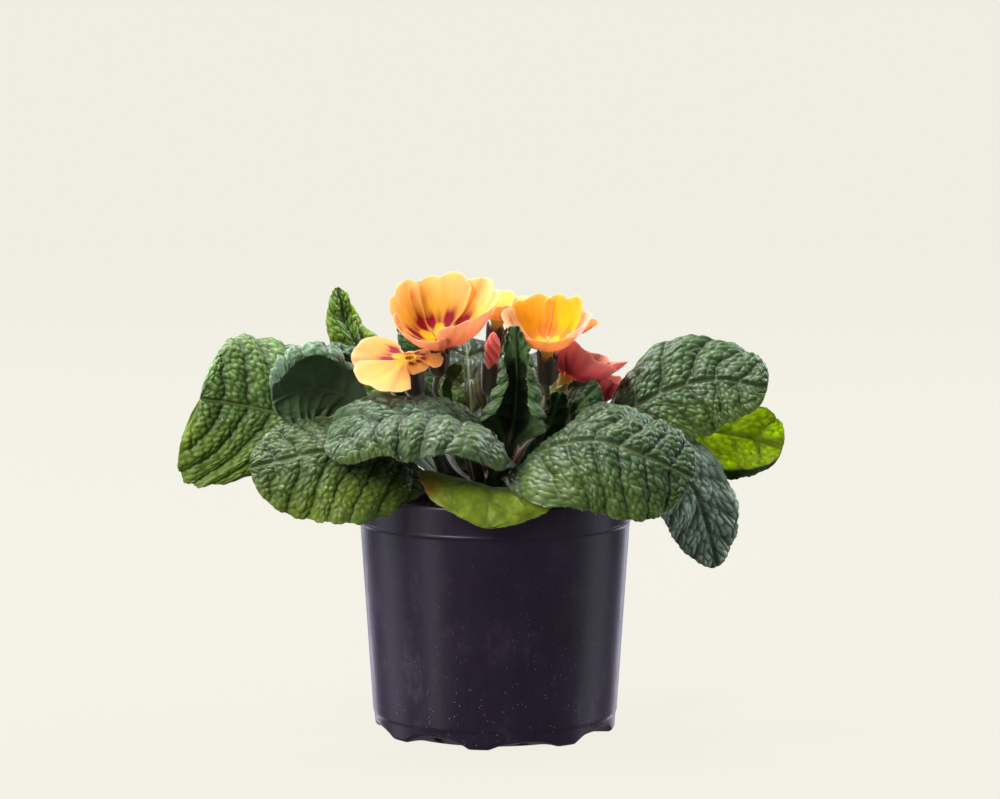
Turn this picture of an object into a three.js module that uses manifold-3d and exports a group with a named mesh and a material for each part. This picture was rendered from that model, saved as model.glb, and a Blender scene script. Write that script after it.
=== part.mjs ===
// A potted primrose: a nursery pot with its soil, and the plant with its leaves and flowers.
// Millimetres, +Z up. The origin is on the pot's axis, where its flat base stands.
// Azimuths are in degrees, 0 to the front (-Y), growing to the right (+X).
import * as THREE from 'three';
import { mergeVertices } from 'three/addons/utils/BufferGeometryUtils.js';
import Module from 'manifold-3d';

const wasm = await Module();
wasm.setup();

// Pot
const POT_HEIGHT = 92;
const RIM_RADIUS = 52.5;
const RIDGE_HEIGHT = 80.5;
const RIDGE_RADIUS = 51.9;
const WALL_TOP_RADIUS = 51.2;
const WALL_FOOT_RADIUS = 46.5;
const FOOT_HEIGHT = 7.5;
const FOOT_RADIUS = 45.7;
const FLAT_BASE_RADIUS = 37;
const WALL = 1.2;
const POT_SIDES = 48;

// Eight feet round the base, with low arches between them that alternate in height
const FEET = 8;
const FOOT_AZIMUTH = -7.7;
const LOW_ARCH = 2.6;
const HIGH_ARCH = 3.8;
const ARCH_SHARE = 0.78;
const DRAIN_RADIUS = 2.4;
const DRAIN_DISTANCE = 40.5;

// Soil and rootstock
const CLEARANCE = 0.3;
const LEAF_SEAT = 0.4;
const FLOWER_STALK_SEAT = 0.9;
const SOIL_TOP = 80;
const SOIL_LUMP = 1.1;
const SOIL_SIDES = 32;
const CROWN_PROFILE = [[0, 63], [4, 65], [9, 74], [13, 80], [12.4, 86], [10.6, 92], [7.4, 97], [0, 100]];
const CROWN_SIDES = 16;

// Leaves
const BLADE_THICKNESS = 0.8;
const STALK_HALF_WIDTH = 3.1;
const STALK_KEEL = 2.1;
const TIP_KEEL = 0.5;
const CURL_POWER = 1.6;
const TIGHTEST_CURL = 30;
const FULL_FOLD_WIDTH = 6;
const VEIN_SLANT = 0.16;
const RELIEF = 1.25;
const MIDRIB_GROOVE = 0.5;
const SCALLOP = 0.035;

// Flowers
const PETALS = 5;
const PETAL_THICKNESS = 0.95;
const PETAL_HALF_ANGLE = 34.2;
const THROAT_HALF_ANGLE = 30;
const PETAL_LAYER = 0.045;
const PETAL_RUFFLE = 0.6;
const PETAL_NOTCH = 0.06;
const PETAL_ROUNDING = 0.17;
// How much of a petal's slope it has at the throat, and how much more comes towards its tip
const OPENING = [0.25, 0.9];
const THROAT_RADIUS = 1.6;
const THROAT_DEPTH = 2;
const TUBE_RADIUS = 2.2;
const TUBE_LENGTH = 13;
const CALYX_LENGTH = 11;
const CALYX_RADIUS = 3.9;
const FLOWER_STALK_RADIUS = 1.2;
const BUD_RADIUS = 2.9;
const BUD_PLEAT = 0.1;
const BUD_TWIST = 0.35;

const UP = new THREE.Vector3(0, 0, 1);

const surface = (color, roughness) => new THREE.MeshStandardMaterial({ color, roughness, metalness: 0 });
const plastic = surface('#2a2230', 0.45);
const earth = surface('#33261c', 1);
const rootstock = surface('#6b5a3a', 0.9);
const leafGreen = surface('#37602f', 0.6);
const youngGreen = surface('#9ccb2e', 0.6);
const oldGreen = surface('#a3a838', 0.6);
const stalkGreen = surface('#7d8a4a', 0.7);
const petalOrange = surface('#f2a23c', 0.6);
const petalCoral = surface('#d4584c', 0.6);

// ---------------------------------------------------------------- solids

// A geometry with only positions, shared vertices merged and no empty triangles.
function welded(geometry) {
  const bare = geometry.clone();
  bare.deleteAttribute('normal');
  bare.deleteAttribute('uv');
  const merged = mergeVertices(bare, 1e-4);
  const kept = [];
  for (let i = 0; i < merged.index.count; i += 3) {
    const corners = [0, 1, 2].map((k) => merged.index.getX(i + k));
    if (new Set(corners).size === 3) kept.push(...corners);
  }
  merged.setIndex(kept);
  return merged;
}

function toSolid(geometry) {
  const { attributes, index } = welded(geometry);
  return new wasm.Manifold(new wasm.Mesh({
    numProp: 3,
    vertProperties: Float32Array.from(attributes.position.array),
    triVerts: Uint32Array.from(index.array),
  }));
}

function toGeometry(solid) {
  const { vertProperties, triVerts } = solid.getMesh();
  const geometry = new THREE.BufferGeometry();
  geometry.setAttribute('position', new THREE.BufferAttribute(vertProperties, 3));
  geometry.setIndex(new THREE.BufferAttribute(triVerts, 1));
  return geometry;
}

const joined = (geometries) => toGeometry(geometries.map(toSolid).reduce((all, next) => all.add(next)));

const cut = (geometry, tools) => toGeometry(tools.map(toSolid).reduce((rest, tool) => rest.subtract(tool),
  toSolid(geometry)));

// Turns a profile of [radius, height] about +Z, then lets reshape(point, azimuth) move each point.
function turned(profile, sides, reshape) {
  const lathe = new THREE.LatheGeometry(profile.map(([r, z]) => new THREE.Vector2(r, z)), sides);
  const geometry = welded(lathe.rotateX(Math.PI / 2));
  if (reshape) {
    const { position } = geometry.attributes;
    const point = new THREE.Vector3();
    for (let i = 0; i < position.count; i++) {
      point.fromBufferAttribute(position, i);
      reshape(point, Math.atan2(point.x, -point.y));
      position.setXYZ(i, point.x, point.y, point.z);
    }
  }
  return geometry;
}

// Closes a grid of upper and lower points into one thin blade, split alike on both faces.
function closedBlade(upper, lower) {
  const rows = upper.length;
  const columns = upper[0].length;
  const last = { row: rows - 1, column: columns - 1 };
  const top = (row, column) => row * columns + column;
  const under = (row, column) => rows * columns + top(row, column);
  const triangles = [];
  const quad = (a, b, c, d) => triangles.push(a, b, c, a, c, d);
  for (let row = 0; row < last.row; row++) {
    for (let column = 0; column < last.column; column++) {
      const corners = [[row, column], [row, column + 1], [row + 1, column + 1], [row + 1, column]];
      const shift = column < last.column / 2 ? 1 : 0;
      const around = [0, 1, 2, 3].map((k) => corners[(k + shift) % 4]);
      quad(...around.map((corner) => top(...corner)));
      const [a, b, c, d] = around.map((corner) => under(...corner));
      triangles.push(a, c, b, a, d, c);
    }
  }
  for (let column = 0; column < last.column; column++) {
    const next = column + 1;
    quad(under(0, column), under(0, next), top(0, next), top(0, column));
    quad(top(last.row, column), top(last.row, next), under(last.row, next), under(last.row, column));
  }
  for (let row = 0; row < last.row; row++) {
    const next = row + 1;
    quad(under(row, 0), top(row, 0), top(next, 0), under(next, 0));
    quad(top(row, last.column), under(row, last.column), under(next, last.column), top(next, last.column));
  }
  const geometry = new THREE.BufferGeometry();
  const points = [...upper.flat(), ...lower.flat()].flatMap((point) => point.toArray());
  geometry.setAttribute('position', new THREE.Float32BufferAttribute(points, 3));
  geometry.setIndex(triangles);
  return geometry;
}

// Closes rings of points, from a low pole outward and back over to a high pole, into one solid. Past
// the ring given by turn, the squares are split the other way, so that both faces are split alike.
function closedRings(rings, turn) {
  const around = rings[0].length;
  const triangles = [];
  const pole = (ring) => ring.reduce((sum, point) => sum.add(point), new THREE.Vector3())
    .divideScalar(around);
  const low = rings.length * around;
  const last = low - around;
  for (let k = 0; k < around; k++) {
    const next = (k + 1) % around;
    for (let ring = 0; ring + 1 < rings.length; ring++) {
      const [a, b] = [ring * around + k, ring * around + next];
      const [c, d] = [b + around, a + around];
      triangles.push(...(ring < turn ? [a, d, c, a, c, b] : [d, c, b, d, b, a]));
    }
    triangles.push(low, k, next, low + 1, last + next, last + k);
  }
  const dimple = pole(rings[rings.length - 1]).addScaledVector(UP, -THROAT_DEPTH / 2);
  const points = [...rings.flat(), pole(rings[0]), dimple].flatMap((point) => point.toArray());
  const geometry = new THREE.BufferGeometry();
  geometry.setAttribute('position', new THREE.Float32BufferAttribute(points, 3));
  geometry.setIndex(triangles);
  return geometry;
}

// A profile's radius at a given height, by straight lines between its points.
function radiusAt(profile, height) {
  const above = profile.findIndex(([, z], i) => i > 0 && z >= height && profile[i - 1][1] < height);
  const [r0, z0] = profile[above - 1];
  const [r1, z1] = profile[above];
  return r0 + (r1 - r0) * (height - z0) / (z1 - z0);
}

const outward = (azimuth) => new THREE.Vector3(Math.sin(azimuth), -Math.cos(azimuth), 0);

const smooth = (x) => x * x * (3 - 2 * x);

// ---------------------------------------------------------------- pot, soil, rootstock

// How far the base is raised between two feet.
function archLift(azimuth) {
  const turns = (THREE.MathUtils.radToDeg(azimuth) - FOOT_AZIMUTH) * FEET / 360;
  const bay = Math.floor(turns);
  const across = Math.min(1, Math.abs(2 * (turns - bay) - 1) / ARCH_SHARE);
  return (bay % 2 === 0 ? LOW_ARCH : HIGH_ARCH) * (1 - across ** 2.5);
}

// Lifts what lies outside the flat base, by the full arch at the foot's lower edge.
function liftFoot(point, azimuth) {
  const radius = Math.hypot(point.x, point.y);
  if (radius > FLAT_BASE_RADIUS + 0.5 && point.z < FOOT_HEIGHT - 3) point.z += archLift(azimuth);
}

function pot() {
  const profile = [
    [0, 0],
    [FLAT_BASE_RADIUS, 0],
    [FOOT_RADIUS - 1.2, 0],
    [FOOT_RADIUS, 1],
    [FOOT_RADIUS + 0.3, FOOT_HEIGHT - 1.3],
    [WALL_FOOT_RADIUS, FOOT_HEIGHT],
    [WALL_TOP_RADIUS, RIDGE_HEIGHT - 1],
    [RIDGE_RADIUS, RIDGE_HEIGHT],
    [RIDGE_RADIUS - 0.3, RIDGE_HEIGHT + 1],
    [RIM_RADIUS, POT_HEIGHT - 1],
    [RIM_RADIUS - 0.5, POT_HEIGHT],
    [RIM_RADIUS - WALL - 0.2, POT_HEIGHT - 0.2],
    [WALL_TOP_RADIUS - WALL, RIDGE_HEIGHT],
    [WALL_FOOT_RADIUS - WALL, FOOT_HEIGHT],
    [FOOT_RADIUS - WALL - 0.6, WALL + 0.5],
    [FLAT_BASE_RADIUS, WALL],
    [0, WALL],
  ];
  const drains = Array.from({ length: FEET }, (_, i) => {
    const azimuth = THREE.MathUtils.degToRad(FOOT_AZIMUTH + (i + 0.5) * 360 / FEET);
    const drain = new THREE.CylinderGeometry(DRAIN_RADIUS, DRAIN_RADIUS, 20, 6).rotateX(Math.PI / 2);
    const place = outward(azimuth).multiplyScalar(DRAIN_DISTANCE);
    return drain.translate(place.x, place.y, 0);
  });
  return cut(turned(profile, POT_SIDES, liftFoot), drains);
}

// Soil surface: gentle lumps, highest round the crown.
function soilLump(point) {
  const short = Math.sin(point.x * 0.31 + 1) * Math.cos(point.y * 0.27);
  const long = Math.sin(point.x * 0.13 - point.y * 0.19);
  return SOIL_LUMP * (short + long) * 0.5;
}

function soil() {
  const inside = (height) => {
    const share = (height - FOOT_HEIGHT) / (RIDGE_HEIGHT - FOOT_HEIGHT);
    return WALL_FOOT_RADIUS + (WALL_TOP_RADIUS - WALL_FOOT_RADIUS) * share - WALL - CLEARANCE - 0.1;
  };
  const hole = CROWN_PROFILE.filter(([, z]) => z <= SOIL_TOP).map(([r, z]) => [r && r + 0.5, z - 0.5]);
  const profile = [
    [0, WALL + CLEARANCE],
    [FLAT_BASE_RADIUS - 0.5, WALL + CLEARANCE],
    [FOOT_RADIUS - WALL - 1.6, WALL + CLEARANCE + HIGH_ARCH + 0.5],
    [inside(FOOT_HEIGHT) - 0.3, FOOT_HEIGHT + 1],
    [inside(SOIL_TOP - 1.5), SOIL_TOP - 1.5],
    [40, SOIL_TOP],
    [27, SOIL_TOP - 0.6],
    ...hole.reverse(),
  ];
  return turned(profile, SOIL_SIDES, (point) => {
    if (point.z > SOIL_TOP - 1 && Math.hypot(point.x, point.y) > 20) point.z += soilLump(point);
  });
}

const crown = () => turned(CROWN_PROFILE, CROWN_SIDES);

// A place on the crown's side, clear of it by gap.
function onCrown([azimuthDegrees, height], gap) {
  const azimuth = THREE.MathUtils.degToRad(azimuthDegrees);
  const radius = radiusAt(CROWN_PROFILE, height) + gap;
  return outward(azimuth).multiplyScalar(radius).addScaledVector(UP, height);
}

// ---------------------------------------------------------------- leaves

// Half of the blade's width at a share of the midrib's length: a slim stalk, then an obovate blade.
function halfWidthAt(leaf, along) {
  const share = Math.max(0, (along - leaf.stalk) / (1 - leaf.stalk));
  const rising = smooth(Math.min(1, share / leaf.widest));
  const falling = Math.max(0, (share - leaf.widest) / (1 - leaf.widest));
  const round = (1 - falling ** leaf.taper) ** leaf.point;
  const stalk = STALK_HALF_WIDTH * (1 - 0.6 * share);
  return stalk + (leaf.halfWidth - stalk) * rising * round;
}

// The midrib's place, direction, upper side and right-hand side at a share of its length.
function frameAt(leaf, along) {
  const bounded = THREE.MathUtils.clamp(along, 0, 1);
  const place = leaf.spine.getPointAt(bounded);
  const ahead = leaf.spine.getTangentAt(bounded);
  const steps = (leaf.faces.length - 1) * bounded;
  const from = Math.min(Math.floor(steps), leaf.faces.length - 2);
  const face = leaf.faces[from].clone().lerp(leaf.faces[from + 1], steps - from);
  face.addScaledVector(ahead, -face.dot(ahead)).normalize();
  return { place, ahead, face, right: ahead.clone().cross(face) };
}

// One point of the blade, from v (0 crown, 1 tip, along a vein) and s (-1 left margin, 1 right).
function bladePoint(leaf, v, s) {
  const side = s < 0 ? 0 : 1;
  const lamina = THREE.MathUtils.clamp((v - leaf.stalk) / (1 - leaf.stalk), 0, 1);
  const along = v + VEIN_SLANT * (1 - leaf.stalk) * Math.abs(s) * 4 * lamina * (1 - lamina);
  const frame = frameAt(leaf, along);
  const open = smooth(Math.min(1, lamina / leaf.opens));
  const bulge = (0.5 - 0.5 * Math.cos(2 * Math.PI * leaf.veins * lamina)) * (lamina > 0 ? 1 : 0);
  const width = halfWidthAt(leaf, along) * leaf.sides[side] * (1 + SCALLOP * bulge);
  const ripple = leaf.wave * Math.sin(2 * Math.PI * leaf.waves * lamina + side * 2 + leaf.halfWidth);
  const fold = THREE.MathUtils.degToRad(leaf.fold[side]) * open * Math.min(1, width / FULL_FOLD_WIDTH);
  const most = TIGHTEST_CURL * width / leaf.curlPower;
  const curl = THREE.MathUtils.degToRad(THREE.MathUtils.clamp(leaf.curl[side] + ripple, -most, most)) * open;
  const steps = 8;
  const step = Math.abs(s) * width / steps;
  let across = 0;
  let rise = 0;
  for (let i = 0; i < steps; i++) {
    const angle = fold + curl * (Math.abs(s) * (i + 0.5) / steps) ** leaf.curlPower;
    across += Math.cos(angle) * step;
    rise += Math.sin(angle) * step;
  }
  const tilt = fold + curl * Math.abs(s) ** leaf.curlPower;
  const hand = Math.sign(s);
  const normal = frame.face.clone().multiplyScalar(Math.cos(tilt));
  normal.addScaledVector(frame.right, -hand * Math.sin(tilt));
  const puff = Math.abs(s) < 0.01 ? -MIDRIB_GROOVE : leaf.relief * bulge * (Math.abs(s) > 0.9 ? 0.4 : 1);
  const sweep = leaf.sweep[side] * s * s * width * open;
  const point = frame.place.clone();
  point.addScaledVector(frame.right, hand * across);
  point.addScaledVector(frame.face, rise);
  point.addScaledVector(frame.ahead, sweep);
  point.addScaledVector(normal, puff * open);
  const keel = THREE.MathUtils.lerp(STALK_KEEL, TIP_KEEL, Math.sqrt(along > 1 ? 1 : along));
  const thickness = BLADE_THICKNESS + keel * Math.max(0, 1 - Math.abs(s) * 2.2);
  return { point, under: point.clone().addScaledVector(normal, -thickness) };
}

function leafGeometry(shape) {
  const leaf = {
    stalk: 0.3,
    widest: 0.58,
    point: 0.5,
    taper: 2.2,
    opens: 0.35,
    veins: 7,
    waves: 2,
    wave: 12,
    fold: [0, 0],
    curl: [-40, -40],
    curlPower: CURL_POWER,
    sweep: [0, 0],
    sides: [1, 1],
    relief: RELIEF,
    ...shape,
  };
  const start = onCrown(leaf.root, LEAF_SEAT);
  const away = outward(THREE.MathUtils.degToRad(leaf.root[0]));
  const second = start.clone().addScaledVector(away, leaf.rise ? 3 : 6).addScaledVector(UP, leaf.rise || 4);
  const rib = leaf.rib.map((point) => new THREE.Vector3(...point));
  leaf.spine = new THREE.CatmullRomCurve3([start, second, ...rib], false, 'centripetal');
  const rootFace = away.clone().multiplyScalar(-0.6).add(UP);
  leaf.faces = [rootFace, ...leaf.face.map((axis) => new THREE.Vector3(...axis))];
  const stalkRows = 2;
  const bladeRows = leaf.veins * 2;
  const levels = [
    ...Array.from({ length: stalkRows }, (_, i) => leaf.stalk * i / stalkRows),
    ...Array.from({ length: bladeRows + 1 }, (_, i) => leaf.stalk + (1 - leaf.stalk) * i / bladeRows),
  ];
  const columns = leaf.columns || 6;
  const shares = Array.from({ length: columns + 1 }, (_, i) => 2 * i / columns - 1);
  const grid = levels.map((v) => shares.map((s) => bladePoint(leaf, v, s)));
  return closedBlade(grid.map((row) => row.map(({ point }) => point)),
    grid.map((row) => row.map(({ under }) => under)));
}

const LEAVES = {
  leaf_left_outer: {
    root: [-98, 84],
    rib: [[-45, 5, 108], [-70, 9, 116], [-92, 8, 122], [-112, 3, 126]],
    face: [[0, -0.5, 0.9], [-0.1, -0.95, 0.3], [-0.2, -0.95, 0.3]],
    halfWidth: 33,
    widest: 0.74,
    fold: [0, 12],
    curl: [-25, -60],
    sweep: [0.42, -0.06],
    veins: 8,
    sides: [1, 0.92],
  },
  leaf_left_arch: {
    root: [-72, 89],
    rib: [[-24, -6, 108], [-42, -8, 120], [-58, -13, 130], [-71, -18, 132.5], [-83, -25, 128]],
    face: [[0.1, 0.7, 0.7], [0.1, 0.95, 0.25], [0, 0.9, 0.4]],
    halfWidth: 27,
    curl: [-165, -60],
    curlPower: 3,
    fold: [5, -20],
    stalk: 0.56,
    widest: 0.6,
    sides: [1, 0.56],
    taper: 3,
    columns: 12,
  },
  leaf_front_left_low: {
    root: [-48, 84],
    rib: [[-28, -27, 102], [-46, -41, 110], [-64, -48, 112], [-78, -48, 109], [-90, -47, 106]],
    face: [[0, -0.6, 0.8], [-0.1, -0.75, 0.65], [-0.15, -0.8, 0.55]],
    halfWidth: 27,
    stalk: 0.12,
    fold: [-8, -12],
    curl: [-35, -20],
    veins: 9,
    sides: [1, 0.86],
  },
  leaf_front_left_high: {
    root: [-8, 89],
    rib: [[1, -31, 108], [-10, -42, 120], [-29, -49, 125], [-46, -54, 122], [-59, -60, 111.5]],
    face: [[0.2, -0.3, 0.9], [0.1, -0.25, 0.95], [-0.7, -0.5, 0.6]],
    halfWidth: 29,
    stalk: 0.16,
    fold: [34, 16],
    curl: [-95, -45],
    veins: 8,
    sides: [1, 0.85],
    widest: 0.4,
    curlPower: 1.2,
    taper: 3,
    opens: 0.22,
  },
  leaf_front_old: {
    root: [4, 84],
    rib: [[-0.5, -29, 95.5], [-1, -40, 98.2], [-2, -51.5, 96.4], [-3, -59, 86]],
    face: [[0, -0.3, 0.95], [0, -0.55, 0.85], [0, -0.95, 0.35]],
    halfWidth: 26,
    widest: 0.6,
    point: 0.8,
    relief: 0.6,
    curl: [-20, -20],
    veins: 5,
    stalk: 0.1,
    tint: oldGreen,
    fold: [0, 15],
  },
  leaf_front_right: {
    root: [34, 84],
    rib: [[12, -29, 106], [24, -42, 114], [40, -48, 116], [57, -49, 110], [73, -45, 102]],
    face: [[0, -0.5, 0.85], [0.1, -0.7, 0.7], [0.3, -0.9, 0.4]],
    halfWidth: 28,
    stalk: 0.1,
    fold: [0, -6],
    curl: [-60, -36],
    veins: 9,
    widest: 0.43,
    sides: [1, 0.95],
    taper: 4,
    opens: 0.3,
  },
  leaf_right_high: {
    root: [84, 89],
    rib: [[30, -4, 109], [46, -1, 119], [64, 3, 128.5], [84, 4, 133], [103, 0, 130]],
    face: [[0, -0.5, 0.85], [0.1, -0.75, 0.65], [0.1, -0.75, 0.65]],
    halfWidth: 21,
    curl: [-25, -35],
    fold: [4, -4],
  },
  leaf_right_lime: {
    root: [112, 84],
    rib: [[36, 18, 102], [60, 21, 110], [80, 17, 112], [96, 14, 110], [110, 12, 106]],
    face: [[0.1, 0.4, 0.9], [0.1, 0.95, 0.2], [0.1, 0.98, 0.1]],
    halfWidth: 19,
    curl: [-20, -70],
    curlPower: 3,
    tint: youngGreen,
  },
  leaf_right_hanging: {
    root: [68, 84],
    rib: [[38, -14, 102], [56, -16, 107], [69, -13, 101], [77, -10, 87], [84, -7, 63]],
    face: [[0.1, -0.3, 0.95], [0.3, -0.7, 0.6], [0.35, -0.93, 0.1]],
    halfWidth: 18,
    widest: 0.5,
    point: 0.8,
    fold: [6, 6],
    curl: [-20, -20],
    veins: 6,
  },
  leaf_back_left_upright: {
    root: [-112, 94],
    rib: [[-23, 11, 114], [-38, 19, 128], [-50, 25, 138], [-58, 27, 151], [-61, 28, 166]],
    face: [[0.3, -0.2, 0.9], [0.6, -0.6, 0.5], [0.7, -0.7, 0.1]],
    halfWidth: 14,
    point: 1,
    fold: [20, 10],
    curl: [-70, -40],
    veins: 5,
    columns: 4,
    widest: 0.3,
    sides: [1, 1.15],
  },
  leaf_left_arch_behind: {
    root: [-88, 95],
    rib: [[-24, 2, 114], [-40, 2, 132], [-56, -3, 143], [-70, -9, 147]],
    face: [[0.3, 0.3, 0.9], [0.2, 0.6, 0.8], [0.1, 0.7, 0.7]],
    halfWidth: 13,
    curl: [-100, -60],
    veins: 5,
    columns: 4,
    stalk: 0.55,
  },
  leaf_heart_front: {
    root: [10, 94],
    rise: 8,
    rib: [[6.5, -17, 117], [8, -20.5, 132], [8, -25, 146], [7, -29, 157]],
    face: [[0, 0.9, 0.3], [0, 0.95, 0], [0, 0.95, 0]],
    halfWidth: 21,
    stalk: 0.26,
    widest: 0.34,
    point: 1.2,
    fold: [-10, -10],
    curl: [-185, -185],
    veins: 9,
    curlPower: 2,
    taper: 1,
    columns: 10,
    opens: 0.3,
  },
  leaf_heart_left: {
    root: [-38, 95],
    rise: 8,
    rib: [[-11, -10.5, 116], [-14, -13, 129], [-13.5, -15, 141.5]],
    face: [[0.5, 0.8, 0.3], [0.6, 0.7, 0], [0.6, 0.7, 0]],
    halfWidth: 9,
    stalk: 0.25,
    widest: 0.45,
    point: 0.8,
    curl: [-150, -150],
    veins: 4,
    columns: 8,
    curlPower: 1.3,
  },
  leaf_heart_right: {
    root: [48, 94],
    rise: 6,
    rib: [[16, -11.5, 111], [21, -13.5, 121], [24, -16.5, 131]],
    face: [[-0.5, 0.6, 0.5], [-0.4, 0.8, 0.2], [-0.4, 0.8, 0.2]],
    halfWidth: 6.5,
    stalk: 0.25,
    point: 0.8,
    curl: [-100, -100],
    veins: 4,
    columns: 4,
  },
  leaf_heart_far_right: {
    root: [84, 94],
    rise: 6,
    rib: [[20, -5, 111], [28, -8, 120], [34, -12, 127.5], [39, -15, 133]],
    face: [[-0.3, -0.3, 0.9], [-0.3, -0.8, 0.5], [-0.3, -0.8, 0.5]],
    halfWidth: 9,
    point: 0.8,
    curl: [-100, -100],
    veins: 4,
    columns: 4,
  },
  leaf_heart_back: {
    root: [-152, 93],
    rise: 6,
    rib: [[-14, 20.5, 115], [-20.5, 31, 131], [-28.5, 37, 144], [-36, 40, 155]],
    face: [[0.4, -0.5, 0.7], [0.6, -0.8, 0.3], [0.6, -0.8, 0.3]],
    halfWidth: 10,
    point: 0.7,
    fold: [15, 15],
    curl: [-80, -80],
    veins: 5,
    columns: 4,
  },
  leaf_back_left: {
    root: [-132, 84],
    rib: [[-32, 28, 103], [-50, 44, 112], [-66, 57, 110], [-78, 66, 99]],
    face: [[-0.2, 0.3, 0.95], [-0.4, 0.4, 0.8], [-0.6, 0.6, 0.4]],
    halfWidth: 27,
    curl: [-50, -35],
    stalk: 0.14,
    veins: 6,
  },
  leaf_back: {
    root: [178, 84],
    rib: [[2, 38, 99], [1, 58, 104.5], [-1, 77, 98], [-1, 88, 81]],
    face: [[0, 0.2, 1], [0.1, 0.4, 0.9], [0, 0.8, 0.5]],
    halfWidth: 28,
    curl: [-35, -50],
    stalk: 0.12,
    columns: 6,
    veins: 6,
  },
  leaf_back_right: {
    root: [146, 84],
    rib: [[27, 34, 102], [42, 52, 111], [55, 66, 109], [66, 76, 97]],
    face: [[0.2, 0.3, 0.95], [0.4, 0.4, 0.8], [0.6, 0.6, 0.4]],
    halfWidth: 24,
    curl: [-35, -50],
    stalk: 0.14,
    veins: 6,
  },
  leaf_back_high_left: {
    root: [-172, 91],
    rise: 5,
    rib: [[-8, 27, 111], [-10, 39, 127], [-11, 49, 138], [-12, 58, 144]],
    face: [[0.1, -0.5, 0.8], [0.1, -0.6, 0.8], [0.1, -0.2, 0.95]],
    halfWidth: 20,
    stalk: 0.14,
    curl: [-40, -40],
    veins: 5,
    columns: 4,
  },
  leaf_back_high_right: {
    root: [138, 91],
    rise: 5,
    rib: [[17, 24, 112], [24, 36, 127], [28, 46, 136.5], [31, 56, 140]],
    face: [[0.1, -0.5, 0.8], [0.1, -0.6, 0.8], [0.2, -0.2, 0.95]],
    halfWidth: 20,
    stalk: 0.15,
    curl: [-40, -40],
    veins: 5,
    columns: 4,
  },
};

// ---------------------------------------------------------------- flowers

// A point of a petal: out runs from the throat to the tip, across from its left to its right edge.
function petalPoint(flower, order, out, across) {
  const middle = THREE.MathUtils.degToRad(order * 360 / PETALS);
  const halfAngle = THREE.MathUtils.degToRad(THREE.MathUtils.lerp(THROAT_HALF_ANGLE, PETAL_HALF_ANGLE, out));
  const notch = PETAL_NOTCH * (1 - Math.min(1, Math.abs(across) * 2));
  const short = notch + PETAL_ROUNDING * across ** 4;
  const radius = flower.radius * (flower.reach ? flower.reach[order] : 1);
  const reach = THROAT_RADIUS + out * (radius * (1 - short * out) - THROAT_RADIUS);
  const angle = middle + across * halfAngle;
  const [start, more] = flower.opening || OPENING;
  const neighbour = (order + Math.sign(across) + PETALS) % PETALS;
  const cup = THREE.MathUtils.lerp(flower.cup[order], flower.cup[neighbour], across ** 2 / 2);
  const slope = THREE.MathUtils.degToRad(cup) * (start + more * out);
  const layer = PETAL_LAYER * across * (reach - THROAT_RADIUS);
  const ruffle = PETAL_RUFFLE * out * out * Math.sin(across * 4.2 + order * 1.7);
  const flat = reach * Math.cos(slope);
  const height = reach * Math.sin(slope) + layer + ruffle;
  return new THREE.Vector3(Math.sin(angle) * flat, Math.cos(angle) * flat, height);
}

// The tube and its five petals, one sheet with a step where each petal's right edge lies over the next.
function corolla(flower) {
  const rows = flower.rows || 4;
  const orders = [0, 1, 2, 3, 4];
  const shares = [-1, -0.5, 0, 0.5, 1];
  const around = (place) => orders.flatMap((order) => shares.map((across) => place(order, across)));
  const upper = Array.from({ length: rows + 1 }, (_, row) => around(
    (order, across) => petalPoint(flower, order, row / rows, across)));
  const lower = upper.slice(1).map((ring) => ring.map(
    (point) => point.clone().addScaledVector(UP, -PETAL_THICKNESS)));
  const tube = [-TUBE_LENGTH, -THROAT_DEPTH].map((height) => around((order, across) => {
    const angle = THREE.MathUtils.degToRad(order * 360 / PETALS + across * THROAT_HALF_ANGLE);
    return new THREE.Vector3(Math.sin(angle) * TUBE_RADIUS, Math.cos(angle) * TUBE_RADIUS, height);
  }));
  return closedRings([...tube, ...lower, ...upper.reverse()], rows + 2);
}

// A ribbed cup with five teeth that holds the corolla's tube.
function calyx() {
  const inner = TUBE_RADIUS + CLEARANCE + 0.15;
  const base = -TUBE_LENGTH - CLEARANCE;
  const profile = [
    [0, base - 3],
    [CALYX_RADIUS - 0.6, base - 1],
    [CALYX_RADIUS, base + 2.5],
    [CALYX_RADIUS + 0.3, base + CALYX_LENGTH - 1],
    [inner, base + CALYX_LENGTH - 2],
    [inner, base],
    [0, base],
  ];
  return turned(profile, PETALS * 2, (point, azimuth) => {
    const rib = Math.round(azimuth / (2 * Math.PI) * PETALS * 2) % 2 === 0;
    const radius = Math.hypot(point.x, point.y);
    if (radius > inner + 0.5) {
      point.x *= rib ? 1.05 : 0.95;
      point.y *= rib ? 1.05 : 0.95;
    }
    if (point.z > base + CALYX_LENGTH - 2) point.z += rib ? 1.3 : -1.3;
  });
}

// Pleats a bud's five folded petals or sepals, which twist as they rise.
function pleat(point, azimuth) {
  const scale = 1 + BUD_PLEAT * Math.cos(PETALS * azimuth + BUD_TWIST * point.z);
  point.x *= scale;
  point.y *= scale;
}

const budPetals = () => turned([
  [0, -TUBE_LENGTH],
  [TUBE_RADIUS, -TUBE_LENGTH],
  [TUBE_RADIUS, -THROAT_DEPTH],
  [BUD_RADIUS, 2],
  [BUD_RADIUS - 1, 6.5],
  [0, 9],
], 2 * PETALS, pleat);

const greenBud = () => turned([
  [0, -TUBE_LENGTH - 3.5],
  [BUD_RADIUS - 0.8, -TUBE_LENGTH - 2],
  [BUD_RADIUS, -TUBE_LENGTH + 2],
  [BUD_RADIUS - 0.2, -TUBE_LENGTH + 6],
  [BUD_RADIUS - 1.6, -TUBE_LENGTH + 10],
  [0, -TUBE_LENGTH + 12],
], 2 * PETALS, pleat);

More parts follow.
